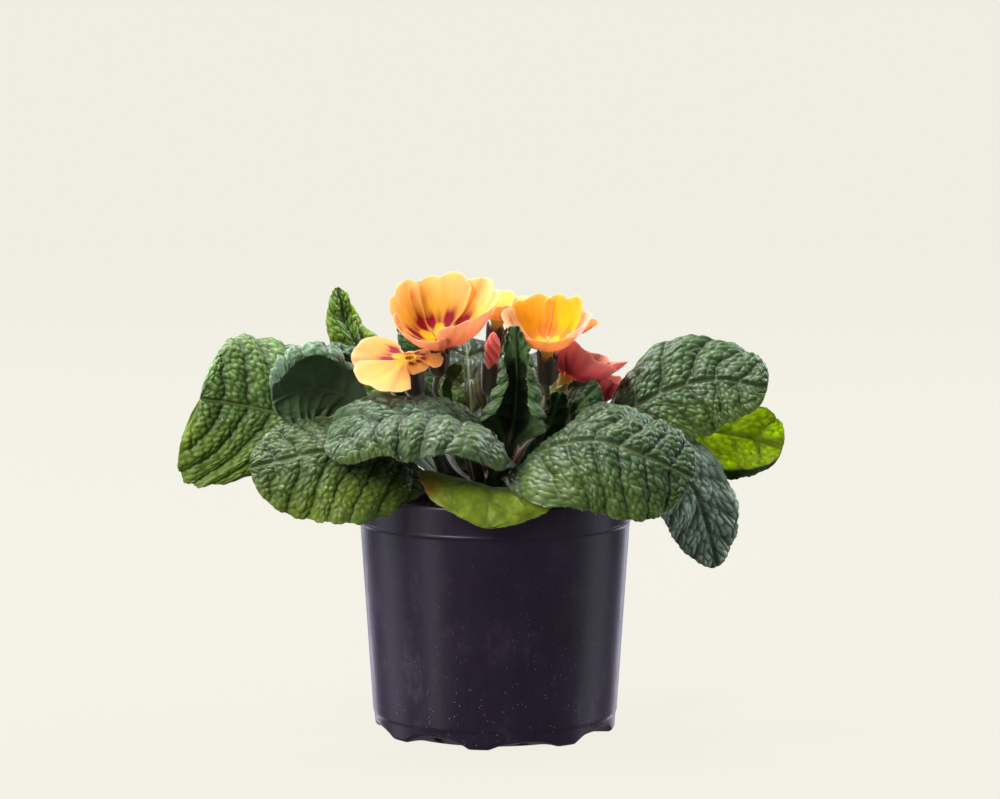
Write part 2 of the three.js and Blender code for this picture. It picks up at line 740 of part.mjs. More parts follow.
// Sets a geometry made round +Z at a place, facing along an axis.
function faced(geometry, place, axis, spin = 0) {
  const turn = new THREE.Quaternion().setFromUnitVectors(UP, axis);
  const roll = new THREE.Quaternion().setFromAxisAngle(UP, THREE.MathUtils.degToRad(spin));
  const matrix = new THREE.Matrix4().compose(place, turn.multiply(roll), new THREE.Vector3(1, 1, 1));
  return geometry.clone().applyMatrix4(matrix);
}

// The stalk from the crown to a point behind the flower, arriving along the flower's axis.
function flowerStalk(flower, end, axis) {
  const start = onCrown(flower.root, FLOWER_STALK_SEAT);
  const lean = outward(THREE.MathUtils.degToRad(flower.root[0])).multiplyScalar(0.35).add(UP).normalize();
  const reach = end.distanceTo(start);
  const path = new THREE.CatmullRomCurve3([
    start,
    start.clone().addScaledVector(lean, reach * 0.3),
    ...(flower.via || []).map((point) => new THREE.Vector3(...point)),
    end.clone().addScaledVector(axis, -reach * 0.22),
    end,
  ], false, 'centripetal');
  const section = new THREE.Shape(Array.from({ length: 5 }, (_, i) => {
    const angle = 2 * Math.PI * i / 5;
    return new THREE.Vector2(Math.cos(angle), Math.sin(angle)).multiplyScalar(FLOWER_STALK_RADIUS);
  }));
  return new THREE.ExtrudeGeometry(section, { steps: 6, extrudePath: path, bevelEnabled: false });
}

// Where a flower's throat is, which way it looks, and the end of its stalk.
function setting(flower) {
  const place = new THREE.Vector3(...flower.centre);
  const axis = new THREE.Vector3(...flower.facing).normalize();
  const end = place.clone().addScaledVector(axis, -TUBE_LENGTH - CLEARANCE - 2);
  return { place, axis, end };
}

// Stalk and calyx, grown as one, and what stands in the calyx: an open corolla or a folded bud.
function flowerPieces(name, flower) {
  const { place, axis, end } = setting(flower);
  const green = joined([faced(calyx(), place, axis), flowerStalk(flower, end, axis)]);
  const inner = flower.folded ? budPetals() : corolla(flower);
  return [
    mesh(`${name}_stalk`, green, stalkGreen),
    mesh(`${name}_corolla`, faced(inner, place, axis, flower.spin), flower.tint || petalOrange),
  ];
}

// A green bud, with its stalk and closed calyx grown as one.
function greenBudPiece(name, bud) {
  const { place, axis, end } = setting(bud);
  return mesh(name, joined([faced(greenBud(), place, axis), flowerStalk(bud, end, axis)]), stalkGreen);
}

const FLOWERS = {
  flower_front_left: {
    root: [-20, 98.5],
    via: [[-9, -3, 118]],
    centre: [-20.5, -16, 150],
    facing: [0.06, -0.5, 0.86],
    spin: 4,
    radius: 25.5,
    cup: [34, 38, 43, 30, 36],
    reach: [1, 1.14, 1.14, 1, 1],
  },
  flower_left: {
    root: [-66, 96],
    via: [[-19, -9.5, 119]],
    centre: [-31.5, -27.5, 145],
    facing: [-0.14, -0.32, 0.94],
    spin: -9,
    radius: 22,
    cup: [-10, -10, -18, -4, 8],
    reach: [0.5, 0.55, 0.4, 1, 1],
  },
  flower_right: {
    root: [25, 98.5],
    centre: [19.8, -10, 147],
    facing: [0.03, -0.3, 0.95],
    spin: -36,
    radius: 21,
    cup: [46, 36, 26, 30, 36],
  },
  flower_right_side: {
    root: [72, 97.6],
    via: [[16.5, 4.5, 113]],
    centre: [27, 5, 134],
    facing: [0.5, 0.08, 0.86],
    spin: -18,
    radius: 23.5,
    cup: [36, 38, 26, 40, 46],
    tint: petalCoral,
    reach: [0.85, 1, 1, 0.75, 0.75],
  },
  flower_far_right: {
    root: [100, 97],
    centre: [39.5, 17.5, 122.5],
    facing: [0.55, -0.1, 0.8],
    spin: 0,
    radius: 13,
    cup: [64, 64, 64, 64, 64],
    rows: 3,
    tint: petalCoral,
    opening: [0.8, 0.2],
  },
  bud_coral: {
    root: [-80, 99],
    centre: [-1, -5.5, 143.5],
    facing: [0.05, -0.1, 0.98],
    folded: true,
    tint: petalCoral,
  },
  flower_middle: {
    root: [170, 98],
    centre: [1, 17, 155],
    facing: [0.1, -0.1, 0.95],
    spin: 12,
    radius: 16,
    cup: [26, 26, 26, 26, 26],
    rows: 3,
  },
  flower_back_left: {
    root: [-140, 97],
    centre: [-24, 24, 155],
    facing: [-0.15, 0.2, 0.95],
    spin: 40,
    radius: 17,
    cup: [22, 22, 22, 22, 22],
    rows: 3,
  },
  flower_back_right: {
    root: [135, 97.5],
    centre: [24, 26, 147],
    facing: [0.1, 0.2, 0.95],
    spin: 4,
    radius: 17,
    cup: [22, 22, 22, 22, 22],
    rows: 3,
  },
};

const GREEN_BUDS = {
  bud_green_back: {
    root: [-168, 99],
    centre: [-6, 13, 138],
    facing: [-0.1, 0.2, 0.95],
  },
  bud_green_right: {
    root: [95, 98.5],
    centre: [13.5, 9.5, 136],
    facing: [0.2, 0.1, 0.95],
  },
};

// ---------------------------------------------------------------- the part

const part = new THREE.Group();

function mesh(name, geometry, material) {
  const piece = new THREE.Mesh(geometry, material);
  piece.name = name;
  return piece;
}

part.add(mesh('pot', pot(), plastic));
part.add(mesh('soil', soil(), earth));
part.add(mesh('crown', crown(), rootstock));
Object.entries(LEAVES).forEach(([name, leaf]) => {
  part.add(mesh(name, leafGeometry(leaf), leaf.tint || leafGreen));
});
Object.entries(FLOWERS).forEach(([name, flower]) => part.add(...flowerPieces(name, flower)));
Object.entries(GREEN_BUDS).forEach(([name, bud]) => part.add(greenBudPiece(name, bud)));

export default part;
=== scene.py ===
"""The looks of a potted primrose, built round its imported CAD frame. Metres, +Z up, -Y to the front.

Shapes are worked out in millimetres, by the same formulas as the solids, and scaled once at the end.
"""
import itertools
import math
from types import SimpleNamespace

import bpy
import numpy as np
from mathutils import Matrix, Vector


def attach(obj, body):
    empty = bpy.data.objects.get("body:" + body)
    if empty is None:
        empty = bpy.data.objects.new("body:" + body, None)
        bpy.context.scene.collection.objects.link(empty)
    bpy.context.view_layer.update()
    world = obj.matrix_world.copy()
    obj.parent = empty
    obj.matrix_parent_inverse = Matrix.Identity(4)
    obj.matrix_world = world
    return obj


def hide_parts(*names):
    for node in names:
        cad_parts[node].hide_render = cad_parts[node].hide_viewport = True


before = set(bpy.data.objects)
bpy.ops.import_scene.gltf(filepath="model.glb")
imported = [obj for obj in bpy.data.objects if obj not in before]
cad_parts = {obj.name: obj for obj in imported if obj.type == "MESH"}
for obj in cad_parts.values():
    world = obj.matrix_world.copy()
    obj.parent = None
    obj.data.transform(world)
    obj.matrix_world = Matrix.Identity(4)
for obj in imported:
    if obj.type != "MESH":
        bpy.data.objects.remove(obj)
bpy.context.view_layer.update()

MM = 0.001
TAU = 2 * math.pi
UP = np.array([0.0, 0.0, 1.0])
LEVEL = np.array([1, 1, 0])

# Pot, soil and rootstock, in millimetres
POT_HEIGHT = 92
RIM_RADIUS = 52.5
RIDGE_HEIGHT = 80.5
RIDGE_RADIUS = 51.9
WALL_TOP_RADIUS = 51.2
WALL_FOOT_RADIUS = 46.5
FOOT_HEIGHT = 7.5
FOOT_RADIUS = 45.7
FLAT_BASE_RADIUS = 37
WALL = 1.2
POT_SIDES = 224
FEET = 8
FOOT_AZIMUTH = -7.7
LOW_ARCH = 2.6
HIGH_ARCH = 3.8
ARCH_SHARE = 0.78
DRAIN_RADIUS = 2.4
DRAIN_DISTANCE = 40.5
DRILL_LENGTH = 20
SOIL_TOP = 80
SOIL_HOLE_RADIUS = 13.6
SOIL_RADIUS = 49.2
SOIL_DEPTH = 6
SOIL_WAVE = 0.55
SOIL_RINGS = 46
SOIL_SIDES = 200
CRUMBS = 420
CRUMBS_FROM = 15
CRUMBS_TO = 48
CRUMB_SIZES = (0.4, 1.5)
PERLITE_SHARE = 0.06
CROWN_PROFILE = [[0, 63], [4, 65], [9, 74], [13, 80], [12.4, 86], [10.6, 92], [7.4, 97], [0, 100]]
CROWN_SIDES = 120
SCAR_HEIGHT = 3.2
SCARS_AROUND = 18

# Leaves, in millimetres, with angles in degrees
LEAF_SEAT = 0.4
FIRST_REACH = 6
FIRST_RISE = 4
UPRIGHT_REACH = 3
STALK_FACE_LEAN = 0.6
BLADE_THICKNESS = 0.42
STALK_HALF_WIDTH = 3.1
STALK_KEEL = 2.3
TIP_KEEL = 0.6
CURL_POWER = 1.6
TIGHTEST_CURL = 30
MARGIN_WAVES = 2
MARGIN_WAVE = 12
CURL_STEPS = 24
FULL_FOLD_WIDTH = 6
VEIN_SLANT = 0.16
RELIEF = 1.25
MIDRIB_GROOVE = 0.5
SCALLOP = 0.035
TOOTH = 0.4
PILLOW_WIDTH = 2.2
PILLOW_LENGTH = 3.7
PILLOW_HEIGHT = 1.15
RELIEF_SEAT = 0.55
STRIP_HEIGHT = 1.05
STRIP_WANDER = 0.14
FURROW_DEPTH = 0.35
VEIN_WIDTH = 0.6
PUCKER = 0.4
UNDER_VEIN = 0.25
MARGIN_HAIRS = 240
MARGIN_HAIR_RADIUS = 0.035
MARGIN_HAIR_LENGTHS = (0.4, 0.9)
KEEL_HAIRS = 260
KEEL_HAIR_LENGTHS = (0.4, 1.0)
HAIR_RADIUS = 0.03
HAIR_ROOT = 0.1

# Flowers, in millimetres
PETALS = 5
THROAT_RADIUS = 1.6
TUBE_RADIUS = 2.2
TUBE_LENGTH = 13
CALYX_LENGTH = 11
CALYX_TEETH = 1.5
CALYX_RIBBING = 0.05
CALYX_FOOT = 2
FLOWER_STALK_SEAT = 0.9
FLOWER_STALK_RADIUS = 1.15
FLOWER_STALK_LEAN = 0.35
FLOWER_STALK_SIDES = 12
STALK_HAIRS = 420
STALK_HAIR_LENGTHS = (0.4, 0.9)
CALYX_HAIRS = 420
BUD_HAIRS = 400
BODY_HAIR_LENGTHS = (0.3, 0.7)
CLEARANCE = 0.3
BUD_TWIST = 0.35
BUD_RIDGES = 0.11
PETAL_THICKNESS = 0.32
PETAL_LAYER = 0.05
PETAL_HEART = 0.16
PETAL_HALF_ANGLE = 30
PETAL_SPREAD = 14
OVERLAP_EDGE = 0.56
OPENING = (0.25, 0.9)
FRONT_PETALS = (2, 3)
NEAR_PETAL_GRID = (47, 57)
FAR_PETAL_GRID = (29, 35)


# ---------------------------------------------------------------- numbers

def hashed(seed, *cells):
    """A number from 0 to 1 for each lattice cell."""
    value = np.full(np.broadcast(*cells).shape, seed, np.uint64)
    for cell in cells:
        value ^= (np.asarray(cell, np.int64) + 4096).astype(np.uint64)
        value *= np.uint64(0x9E3779B97F4A7C15)
        value ^= value >> np.uint64(29)
    return (value >> np.uint64(11)) / 2.0 ** 53


def smooth(x):
    x = np.clip(x, 0, 1)
    return x * x * (3 - 2 * x)


def bell(x, width):
    """1 where x is 0, falling away over the width."""
    return np.exp(-(x / width) ** 2)


def noise(seed, *axes):
    """Smooth noise from -1 to 1."""
    axes = np.broadcast_arrays(*axes)
    cells = [np.floor(a).astype(np.int64) for a in axes]
    parts = [smooth(a - c) for a, c in zip(axes, cells)]
    total = 0
    for corner in itertools.product((0, 1), repeat=len(axes)):
        weight = 1
        for bit, part in zip(corner, parts):
            weight = weight * (part if bit else 1 - part)
        total = total + weight * hashed(seed, *[c + bit for c, bit in zip(cells, corner)])
    return 2 * total - 1


def cellular(seed, row, column, row_size, column_size):
    """How far each point lies from the border of its jittered cell, and a number for that cell."""
    i0 = np.floor(row).astype(np.int64)
    j0 = np.floor(column).astype(np.int64)
    first, second = np.full((2, *row.shape), 1e9)
    own = np.zeros(row.shape)
    for di, dj in itertools.product((-1, 0, 1), (-1, 0, 1)):
        i, j = i0 + di, j0 + dj
        centre_row = i + 0.5 + 0.6 * (hashed(seed, i, j) - 0.5)
        centre_column = j + 0.5 + 0.7 * (hashed(seed + 1, i, j) - 0.5)
        distance = np.hypot((row - centre_row) * row_size, (column - centre_column) * column_size)
        nearer = distance < first
        second = np.where(nearer, first, np.minimum(second, distance))
        own = np.where(nearer, hashed(seed + 2, i, j), own)
        first = np.where(nearer, distance, first)
    return (second - first) / 2, own


def linear(colour):
    """Linear light from a colour in sRGB, 0 to 255."""
    c = np.asarray(colour, float) / 255
    return np.where(c <= 0.04045, c / 12.92, ((c + 0.055) / 1.055) ** 2.4)


def blended(low, high, share):
    return low + (high - low) * np.clip(share, 0, 1)[..., None]


def unit(v):
    return v / np.maximum(np.linalg.norm(v, axis=-1, keepdims=True), 1e-12)


def outward(azimuth):
    return np.array([math.sin(azimuth), -math.cos(azimuth), 0.0])


def around(count):
    return np.linspace(0, TAU, count, endpoint=False)


def ringed(angles, radius, height):
    """Rings of points round +Z, from +X on: a row for each radius and height."""
    x, y = np.cos(angles) * radius, np.sin(angles) * radius
    return np.stack([x, y, np.broadcast_to(height, x.shape)], -1)


def lathe(profile, sides):
    """Rings from a profile of radii and heights, from the front on."""
    azimuth = around(sides)
    x, y = np.sin(azimuth) * profile[:, :1], -np.cos(azimuth) * profile[:, :1]
    return np.stack([x, y, np.broadcast_to(profile[:, 1:], x.shape)], -1)


class Spine:
    """A centripetal Catmull-Rom curve, read by its share of length."""

    def __init__(self, points, steps=600):
        p = np.array(points, float)
        last = len(p) - 1
        out = []
        for t in np.linspace(0, last, steps + 1):
            i = min(int(t), last - 1)
            w = t - i
            p0 = p[i - 1] if i else 2 * p[0] - p[1]
            p1, p2 = p[i], p[i + 1]
            p3 = p[i + 2] if i + 2 <= last else 2 * p[last] - p[last - 1]
            d0, d1, d2 = (np.linalg.norm(b - a) ** 0.5 for a, b in ((p0, p1), (p1, p2), (p2, p3)))
            m1 = ((p1 - p0) / d0 - (p2 - p0) / (d0 + d1) + (p2 - p1) / d1) * d1
            m2 = ((p2 - p1) / d1 - (p3 - p1) / (d1 + d2) + (p3 - p2) / d2) * d1
            out.append(p1 + m1 * w + (-3 * p1 + 3 * p2 - 2 * m1 - m2) * w ** 2
                       + (2 * p1 - 2 * p2 + m1 + m2) * w ** 3)
        self.line = np.array(out)
        gaps = np.linalg.norm(np.diff(self.line, axis=0), axis=1)
        self.length = gaps.sum()
        self.share = np.concatenate([[0], np.cumsum(gaps)]) / self.length
        self.slope = unit(np.gradient(self.line, axis=0))

    def read(self, table, share):
        return np.stack([np.interp(share, self.share, table[:, k]) for k in range(3)], -1)

    def at(self, share):
        return self.read(self.line, share)

    def ahead(self, share):
        return unit(self.read(self.slope, share))


def on_crown(root, gap):
    """The point at a root's azimuth and height, a gap off the rootstock."""
    azimuth, height = root
    radii, heights = zip(*CROWN_PROFILE)
    return outward(math.radians(azimuth)) * (np.interp(height, heights, radii) + gap) + UP * height


# ---------------------------------------------------------------- meshes

def faces(*corners):
    """Four-cornered faces from rows or grids of their corners' numbers."""
    return np.stack(corners, -1).reshape(-1, 4)


def listed(*grids):
    """The vectors of some grids, one after the other."""
    return np.concatenate([np.reshape(grid, (-1, 3)) for grid in grids])


class Sheets:
    """Grids, tubes and hairs gathered into one mesh, with a colour and a flow for each point."""

    def __init__(self):
        self.points, self.colours, self.flows, self.quads, self.count = [], [], [], [], 0

    def add(self, points, colours, quads, flows=None):
        """Quads whose last two corners are the same are triangles."""
        points = listed(points)
        self.points.append(points)
        self.colours.append(np.broadcast_to(listed(colours), points.shape))
        self.flows.append(np.zeros(points.shape) if flows is None else listed(flows))
        self.quads.append(quads.reshape(-1, 4) + self.count)
        self.count += len(points)

    def grid(self, upper, lower, upper_colour, lower_colour, flows=None):
        """A closed thin sheet: a fine upper grid over the points under its every second row and column."""
        number = np.arange(upper.shape[0] * upper.shape[1]).reshape(upper.shape[:2])
        under = number.size + np.arange(lower.shape[0] * lower.shape[1]).reshape(lower.shape[:2])

        def stitched(low, high):
            start, end, a, b, c = low[:-1], low[1:], high[:-2:2], high[1:-1:2], high[2::2]
            return [faces(start, end, b, b), faces(start, b, a, a), faces(end, c, b, b)]

        rims = [*stitched(under[0], number[0]), *stitched(under[-1, ::-1], number[-1, ::-1]),
                *stitched(under[::-1, 0], number[::-1, 0]), *stitched(under[:, -1], number[:, -1])]
        top = faces(number[:-1, :-1], number[:-1, 1:], number[1:, 1:], number[1:, :-1])
        bottom = faces(under[:-1, :-1], under[1:, :-1], under[1:, 1:], under[:-1, 1:])
        if flows is not None:
            flows = listed(flows, flows[::2, ::2])
        self.add(listed(upper, lower), listed(upper_colour, lower_colour),
                 np.concatenate([top, bottom, *rims]), flows)

    def tube(self, rings, colour, flows=None):
        """Rings of points joined into a tube, its ends closed by their middle points."""
        rows, sides = rings.shape[:2]
        number = np.arange(rows * sides).reshape(rows, sides)
        turned = np.roll(number, -1, 1)
        walls = faces(number[:-1], turned[:-1], turned[1:], number[1:])
        low, high = np.full((2, sides), [[rows * sides], [rows * sides + 1]])
        caps = [faces(low, turned[0], number[0], number[0]), faces(high, number[-1], turned[-1], turned[-1])]
        colour = listed(np.broadcast_to(colour, rings.shape))
        flows = np.zeros(colour.shape) if flows is None else listed(flows)
        self.add(listed(rings, rings[[0, -1]].mean(1)), listed(colour, colour[[0, -1]]),
                 np.concatenate([walls, *caps]), listed(flows, flows[[0, -1]]))

    def hairs(self, roots, directions, lengths, radius, colour):
        """Fine straight hairs, each a slim three-sided pyramid."""
        directions = unit(directions)
        side = unit(np.cross(directions, np.where(np.abs(directions[:, 2:]) < 0.9, UP, outward(0))))
        other = np.cross(directions, side)
        corners = [roots - directions * HAIR_ROOT + radius * (math.cos(a) * side + math.sin(a) * other)
                   for a in (0, TAU / 3, 2 * TAU / 3)]
        points = np.stack([*corners, roots + directions * lengths[:, None]], 1)
        first = np.arange(len(roots))[:, None, None] * 4
        self.add(points, colour, first + np.array([[0, 1, 3, 3], [1, 2, 3, 3], [2, 0, 3, 3], [0, 2, 1, 1]]))

    def build(self, node, material):
        """The mesh as a piece of the root body, in place of a node of the frame."""
        name = node + "_fine"
        points = np.concatenate(self.points) * MM
        quads = np.concatenate(self.quads)
        sizes = np.where(quads[:, 2] == quads[:, 3], 3, 4)
        corners = quads[np.arange(4)[None] < sizes[:, None]]
        starts = np.concatenate([[0], np.cumsum(sizes)[:-1]])
        colour = np.concatenate([np.concatenate(self.colours), np.ones((len(points), 1))], 1)
        mesh = bpy.data.meshes.new(name)
        mesh.vertices.add(len(points))
        mesh.vertices.foreach_set("co", points.astype(np.float32).ravel())
        mesh.loops.add(len(corners))
        mesh.loops.foreach_set("vertex_index", corners.astype(np.int32))
        mesh.polygons.add(len(quads))
        mesh.polygons.foreach_set("loop_start", starts.astype(np.int32))
        mesh.polygons.foreach_set("use_smooth", np.ones(len(quads), bool))
        tint = mesh.attributes.new("tint", "FLOAT_COLOR", "POINT")
        tint.data.foreach_set("color", np.clip(colour, 0, 1).astype(np.float32).ravel())
        flow = mesh.attributes.new("flow", "FLOAT_VECTOR", "POINT")
        flow.data.foreach_set("vector", np.concatenate(self.flows).astype(np.float32).ravel())
        mesh.update(calc_edges=True)
        mesh.materials.append(material)
        piece = bpy.data.objects.new(name, mesh)
        bpy.context.scene.collection.objects.link(piece)
        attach(piece, "root")
        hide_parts(node)
        return piece


# ---------------------------------------------------------------- materials

class Nodes:
    """Short names for building a material's nodes."""

    def __init__(self, name):
        self.material = bpy.data.materials.new(name)
        self.material.use_nodes = True
        self.tree = self.material.node_tree
        self.tree.nodes.clear()
        self.place = self.node("TexCoord").outputs["Object"]
        self.tint = self.attribute("tint").outputs["Color"]

    def fill(self, socket, value):
        if isinstance(value, bpy.types.NodeSocket):
            self.tree.links.new(value, socket)
        elif isinstance(value, (tuple, np.ndarray)):
            socket.default_value = (*value, 1) if socket.type == "RGBA" else value
        else:
            socket.default_value = value

    def node(self, kind, *numbered, settings=None, **inputs):
        """A node with its inputs filled: by number first, then by name."""
        made = self.tree.nodes.new("ShaderNode" + kind)
        for key, value in (settings or {}).items():
            setattr(made, key, value)
        for socket, value in zip(made.inputs, numbered):
            self.fill(socket, value)
        for key, value in inputs.items():
            self.fill(made.inputs[key.replace("_", " ")], value)
        return made

    def attribute(self, name):
        return self.node("Attribute", settings={"attribute_name": name})

    def math(self, operation, a, b):
        return self.node("Math", a, b, settings={"operation": operation}).outputs[0]

    def add(self, a, b):
        return self.math("ADD", a, b)

    def times(self, a, b):
        return self.math("MULTIPLY", a, b)

    def mix(self, factor, a, b, blend="MIX"):
        made = self.node("Mix", factor, settings={"data_type": "RGBA", "blend_type": blend})
        self.fill(made.inputs[6], a)
        self.fill(made.inputs[7], b)
        return made.outputs[2]

    def shade(self, factor, colour, by):
        return self.mix(factor, colour, by, "MULTIPLY")

    def ramp(self, factor, low, high):
        """A grey from one (place, value) to another."""
        made = self.node("ValToRGB", factor)
        for element, (place, value) in zip(made.color_ramp.elements, (low, high)):
            element.position = place
            element.color = (value, value, value, 1)
        return made.outputs[0]

    def scaled(self, vector, *scale):
        return self.node("Mapping", Vector=vector, Scale=scale).outputs[0]

    def noise(self, vector, scale, detail, roughness=0.55):
        return self.node("TexNoise", Vector=vector, Scale=scale, Detail=detail,
                         Roughness=roughness).outputs[0]

    def cells(self, scale):
        return self.node("TexVoronoi", Vector=self.place, Scale=scale).outputs["Distance"]

    def bump(self, height, strength, distance):
        return self.node("Bump", Height=height, Strength=strength, Distance=distance).outputs[0]

    def principled(self, colour, roughness, normal, **inputs):
        return self.node("BsdfPrincipled", Base_Color=colour, Roughness=roughness, Normal=normal,
                         **inputs).outputs[0]

    def layered(self, share, under, over):
        return self.node("MixShader", share, under, over).outputs[0]

    def surface(self, shader):
        self.node("OutputMaterial", shader)
        return self.material


def leaf_material(name, through, roughness=0.4, sheen=0.2):
    """A leaf that lets a share of the light through, warmer and yellower than it reflects it."""
    n = Nodes(name)
    mottle = n.noise(n.place, 180, 4)
    fine = n.noise(n.place, 1500, 3)
    colour = n.shade(1.0, n.tint, n.ramp(mottle, (0.3, 0.78), (0.7, 1.2)))
    colour = n.shade(0.25, colour, n.ramp(fine, (0.3, 0.6), (0.7, 1.35)))
    height = n.add(n.times(n.cells(1100), 0.5), fine)
    leaf = n.principled(colour, n.add(n.times(mottle, 0.25), roughness - 0.1), n.bump(height, 0.35, 0.0002),
                        Sheen_Weight=sheen, Sheen_Roughness=0.4, Sheen_Tint=(0.8, 0.9, 1.0), IOR=1.43)
    glow = n.node("BsdfTranslucent", n.shade(1.0, colour, (1.3, 1.25, 0.6))).outputs[0]
    return n.surface(n.layered(through, leaf, glow))


def petal_material(name, through):
    """A petal with fine veins along it. The gamma keeps light that passes two petals from darkening."""
    n = Nodes(name)
    flow = n.attribute("flow").outputs["Vector"]
    veins = n.noise(n.scaled(flow, 26, 2.5, 1), 1, 3)
    soft = n.noise(n.scaled(flow, 3, 3, 1), 1.6, 2)
    colour = n.shade(0.55, n.tint, n.ramp(veins, (0.3, 0.86), (0.7, 1.12)))
    colour = n.shade(0.5, colour, n.ramp(soft, (0.3, 0.9), (0.7, 1.08)))
    petal = n.principled(colour, 0.55, n.bump(veins, 0.3, 0.0003),
                         Sheen_Weight=0.3, Sheen_Roughness=0.35, Sheen_Tint=(1.0, 0.85, 0.8), IOR=1.38)
    thin = n.node("Gamma", colour, 0.8).outputs[0]
    return n.surface(n.layered(through, petal, n.node("BsdfTranslucent", thin).outputs[0]))


def stalk_material(name):
    n = Nodes(name)
    streaks = n.noise(n.scaled(n.place, 1, 1, 0.15), 1400, 3)
    colour = n.shade(0.6, n.tint, n.ramp(streaks, (0.3, 0.6), (0.7, 1.3)))
    return n.surface(n.principled(colour, 0.5, n.bump(streaks, 0.4, 0.0002),
                                  Subsurface_Weight=0.15, Subsurface_Scale=0.002, Sheen_Weight=0.4))


def pot_material():
    """Dark violet plastic with faint upright streaks, a thin film of lime and specks, mostly low down."""
    n = Nodes("pot_plastic")
    cloud = n.noise(n.place, 38, 5, 0.6)
    streaks = n.noise(n.scaled(n.place, 1, 1, 0.07), 320, 4)
    height = n.node("SeparateXYZ", n.place).outputs[2]
    lowness = n.ramp(n.times(height, 10.0), (0.1, 1.0), (0.6, 0.25))
    speckled = n.times(n.math("GREATER_THAN", n.noise(n.place, 150, 2), 0.5), lowness)
    specks = n.times(n.math("LESS_THAN", n.cells(620), 0.12), speckled)
    marks = n.noise(n.scaled(n.place, 1, 1, 0.5), 95, 6, 0.7)
    film = n.times(n.ramp(marks, (0.5, 0.0), (0.62, 1.0)), n.ramp(cloud, (0.45, 0.0), (0.62, 1.0)))
    colour = n.mix(n.ramp(cloud, (0.35, 0.0), (0.7, 1.0)), linear((25, 15, 32)), linear((34, 22, 43)))
    colour = n.mix(n.times(streaks, 0.35), colour, linear((42, 32, 54)))
    colour = n.mix(n.times(n.times(film, lowness), 0.14), colour, linear((112, 106, 112)))
    colour = n.mix(n.times(specks, 0.6), colour, linear((150, 144, 142)))
    rough = n.add(n.add(n.times(streaks, 0.16), n.times(film, 0.1)), 0.24)
    relief = n.add(n.times(n.noise(n.place, 2600, 3), 0.35), n.add(n.times(streaks, 0.6), specks))
    return n.surface(n.principled(colour, rough, n.bump(relief, 0.22, 0.0003), IOR=1.47))


def earth_material():
    n = Nodes("soil")
    grain = n.noise(n.place, 900, 6, 0.7)
    colour = n.shade(1.0, n.tint, n.ramp(grain, (0.3, 0.5), (0.7, 1.6)))
    return n.surface(n.principled(colour, 0.85, n.bump(grain, 0.9, 0.0006)))


LEAF = leaf_material("leaf", 0.22)
LEAF_YOUNG = leaf_material("leaf_young", 0.55, sheen=0.1)
LEAF_OLD = leaf_material("leaf_old", 0.3, 0.45, 0.15)
PETAL = petal_material("petal", 0.5)
STALK = stalk_material("flower_stalk")
POT = pot_material()
EARTH = earth_material()


# ---------------------------------------------------------------- leaves

# The options of a leaf. Its line and width are those of its solid.
# Line: root is the azimuth and height on the rootstock, rib the midrib's points after it, rise the
# first climb of an upright leaf, and face the blade's upward direction at even steps along it.
# Blade: half_width, widest, point and taper give the outline. opens is where the blade is fully open,
# stalk the share of the length before it. For the left and the right half, sides is the share of the
# width, fold the angle at the midrib, curl the bend on the way to the margin and sweep the lean to the
# tip. curl_power is how late the bend comes.
# Relief: veins is the number of side veins, relief the height of the strips between them, net the
# strength of the pillows and of their painted highlights and furrow shade, cells their size, calm how
# smooth the middle is, groove how deep the midrib lies, and detail the mesh size in millimetres.
# Colour: look is the blade, below the share of it underneath, kept low as painted shade where the
# underside lies in the dark, fresh the painted colour of light coming through, glow the share of
# fresh at the tip, the left and the right margin. rib_shine is the pale midrib, rolled how far the
# rolled underside takes the upper colour. margin is a side and its colour, patch a spot: its place along
# and across, colour and sizes.
LEAF_DEFAULTS = dict(
    rise=0, stalk=0.3, widest=0.58, point=0.5, taper=2.2, opens=0.35, veins=7,
    fold=(0, 0), curl=(-40, -40), curl_power=CURL_POWER, sweep=(0, 0), sides=(1, 1),
    relief=RELIEF, net=1, cells=1, calm=0, groove=0.5, detail=0.52,
    below=0.8, rib_shine=0.7, rolled=0, fresh=(134, 158, 52), glow=(0, 0, 0), margin=None, patch=None)
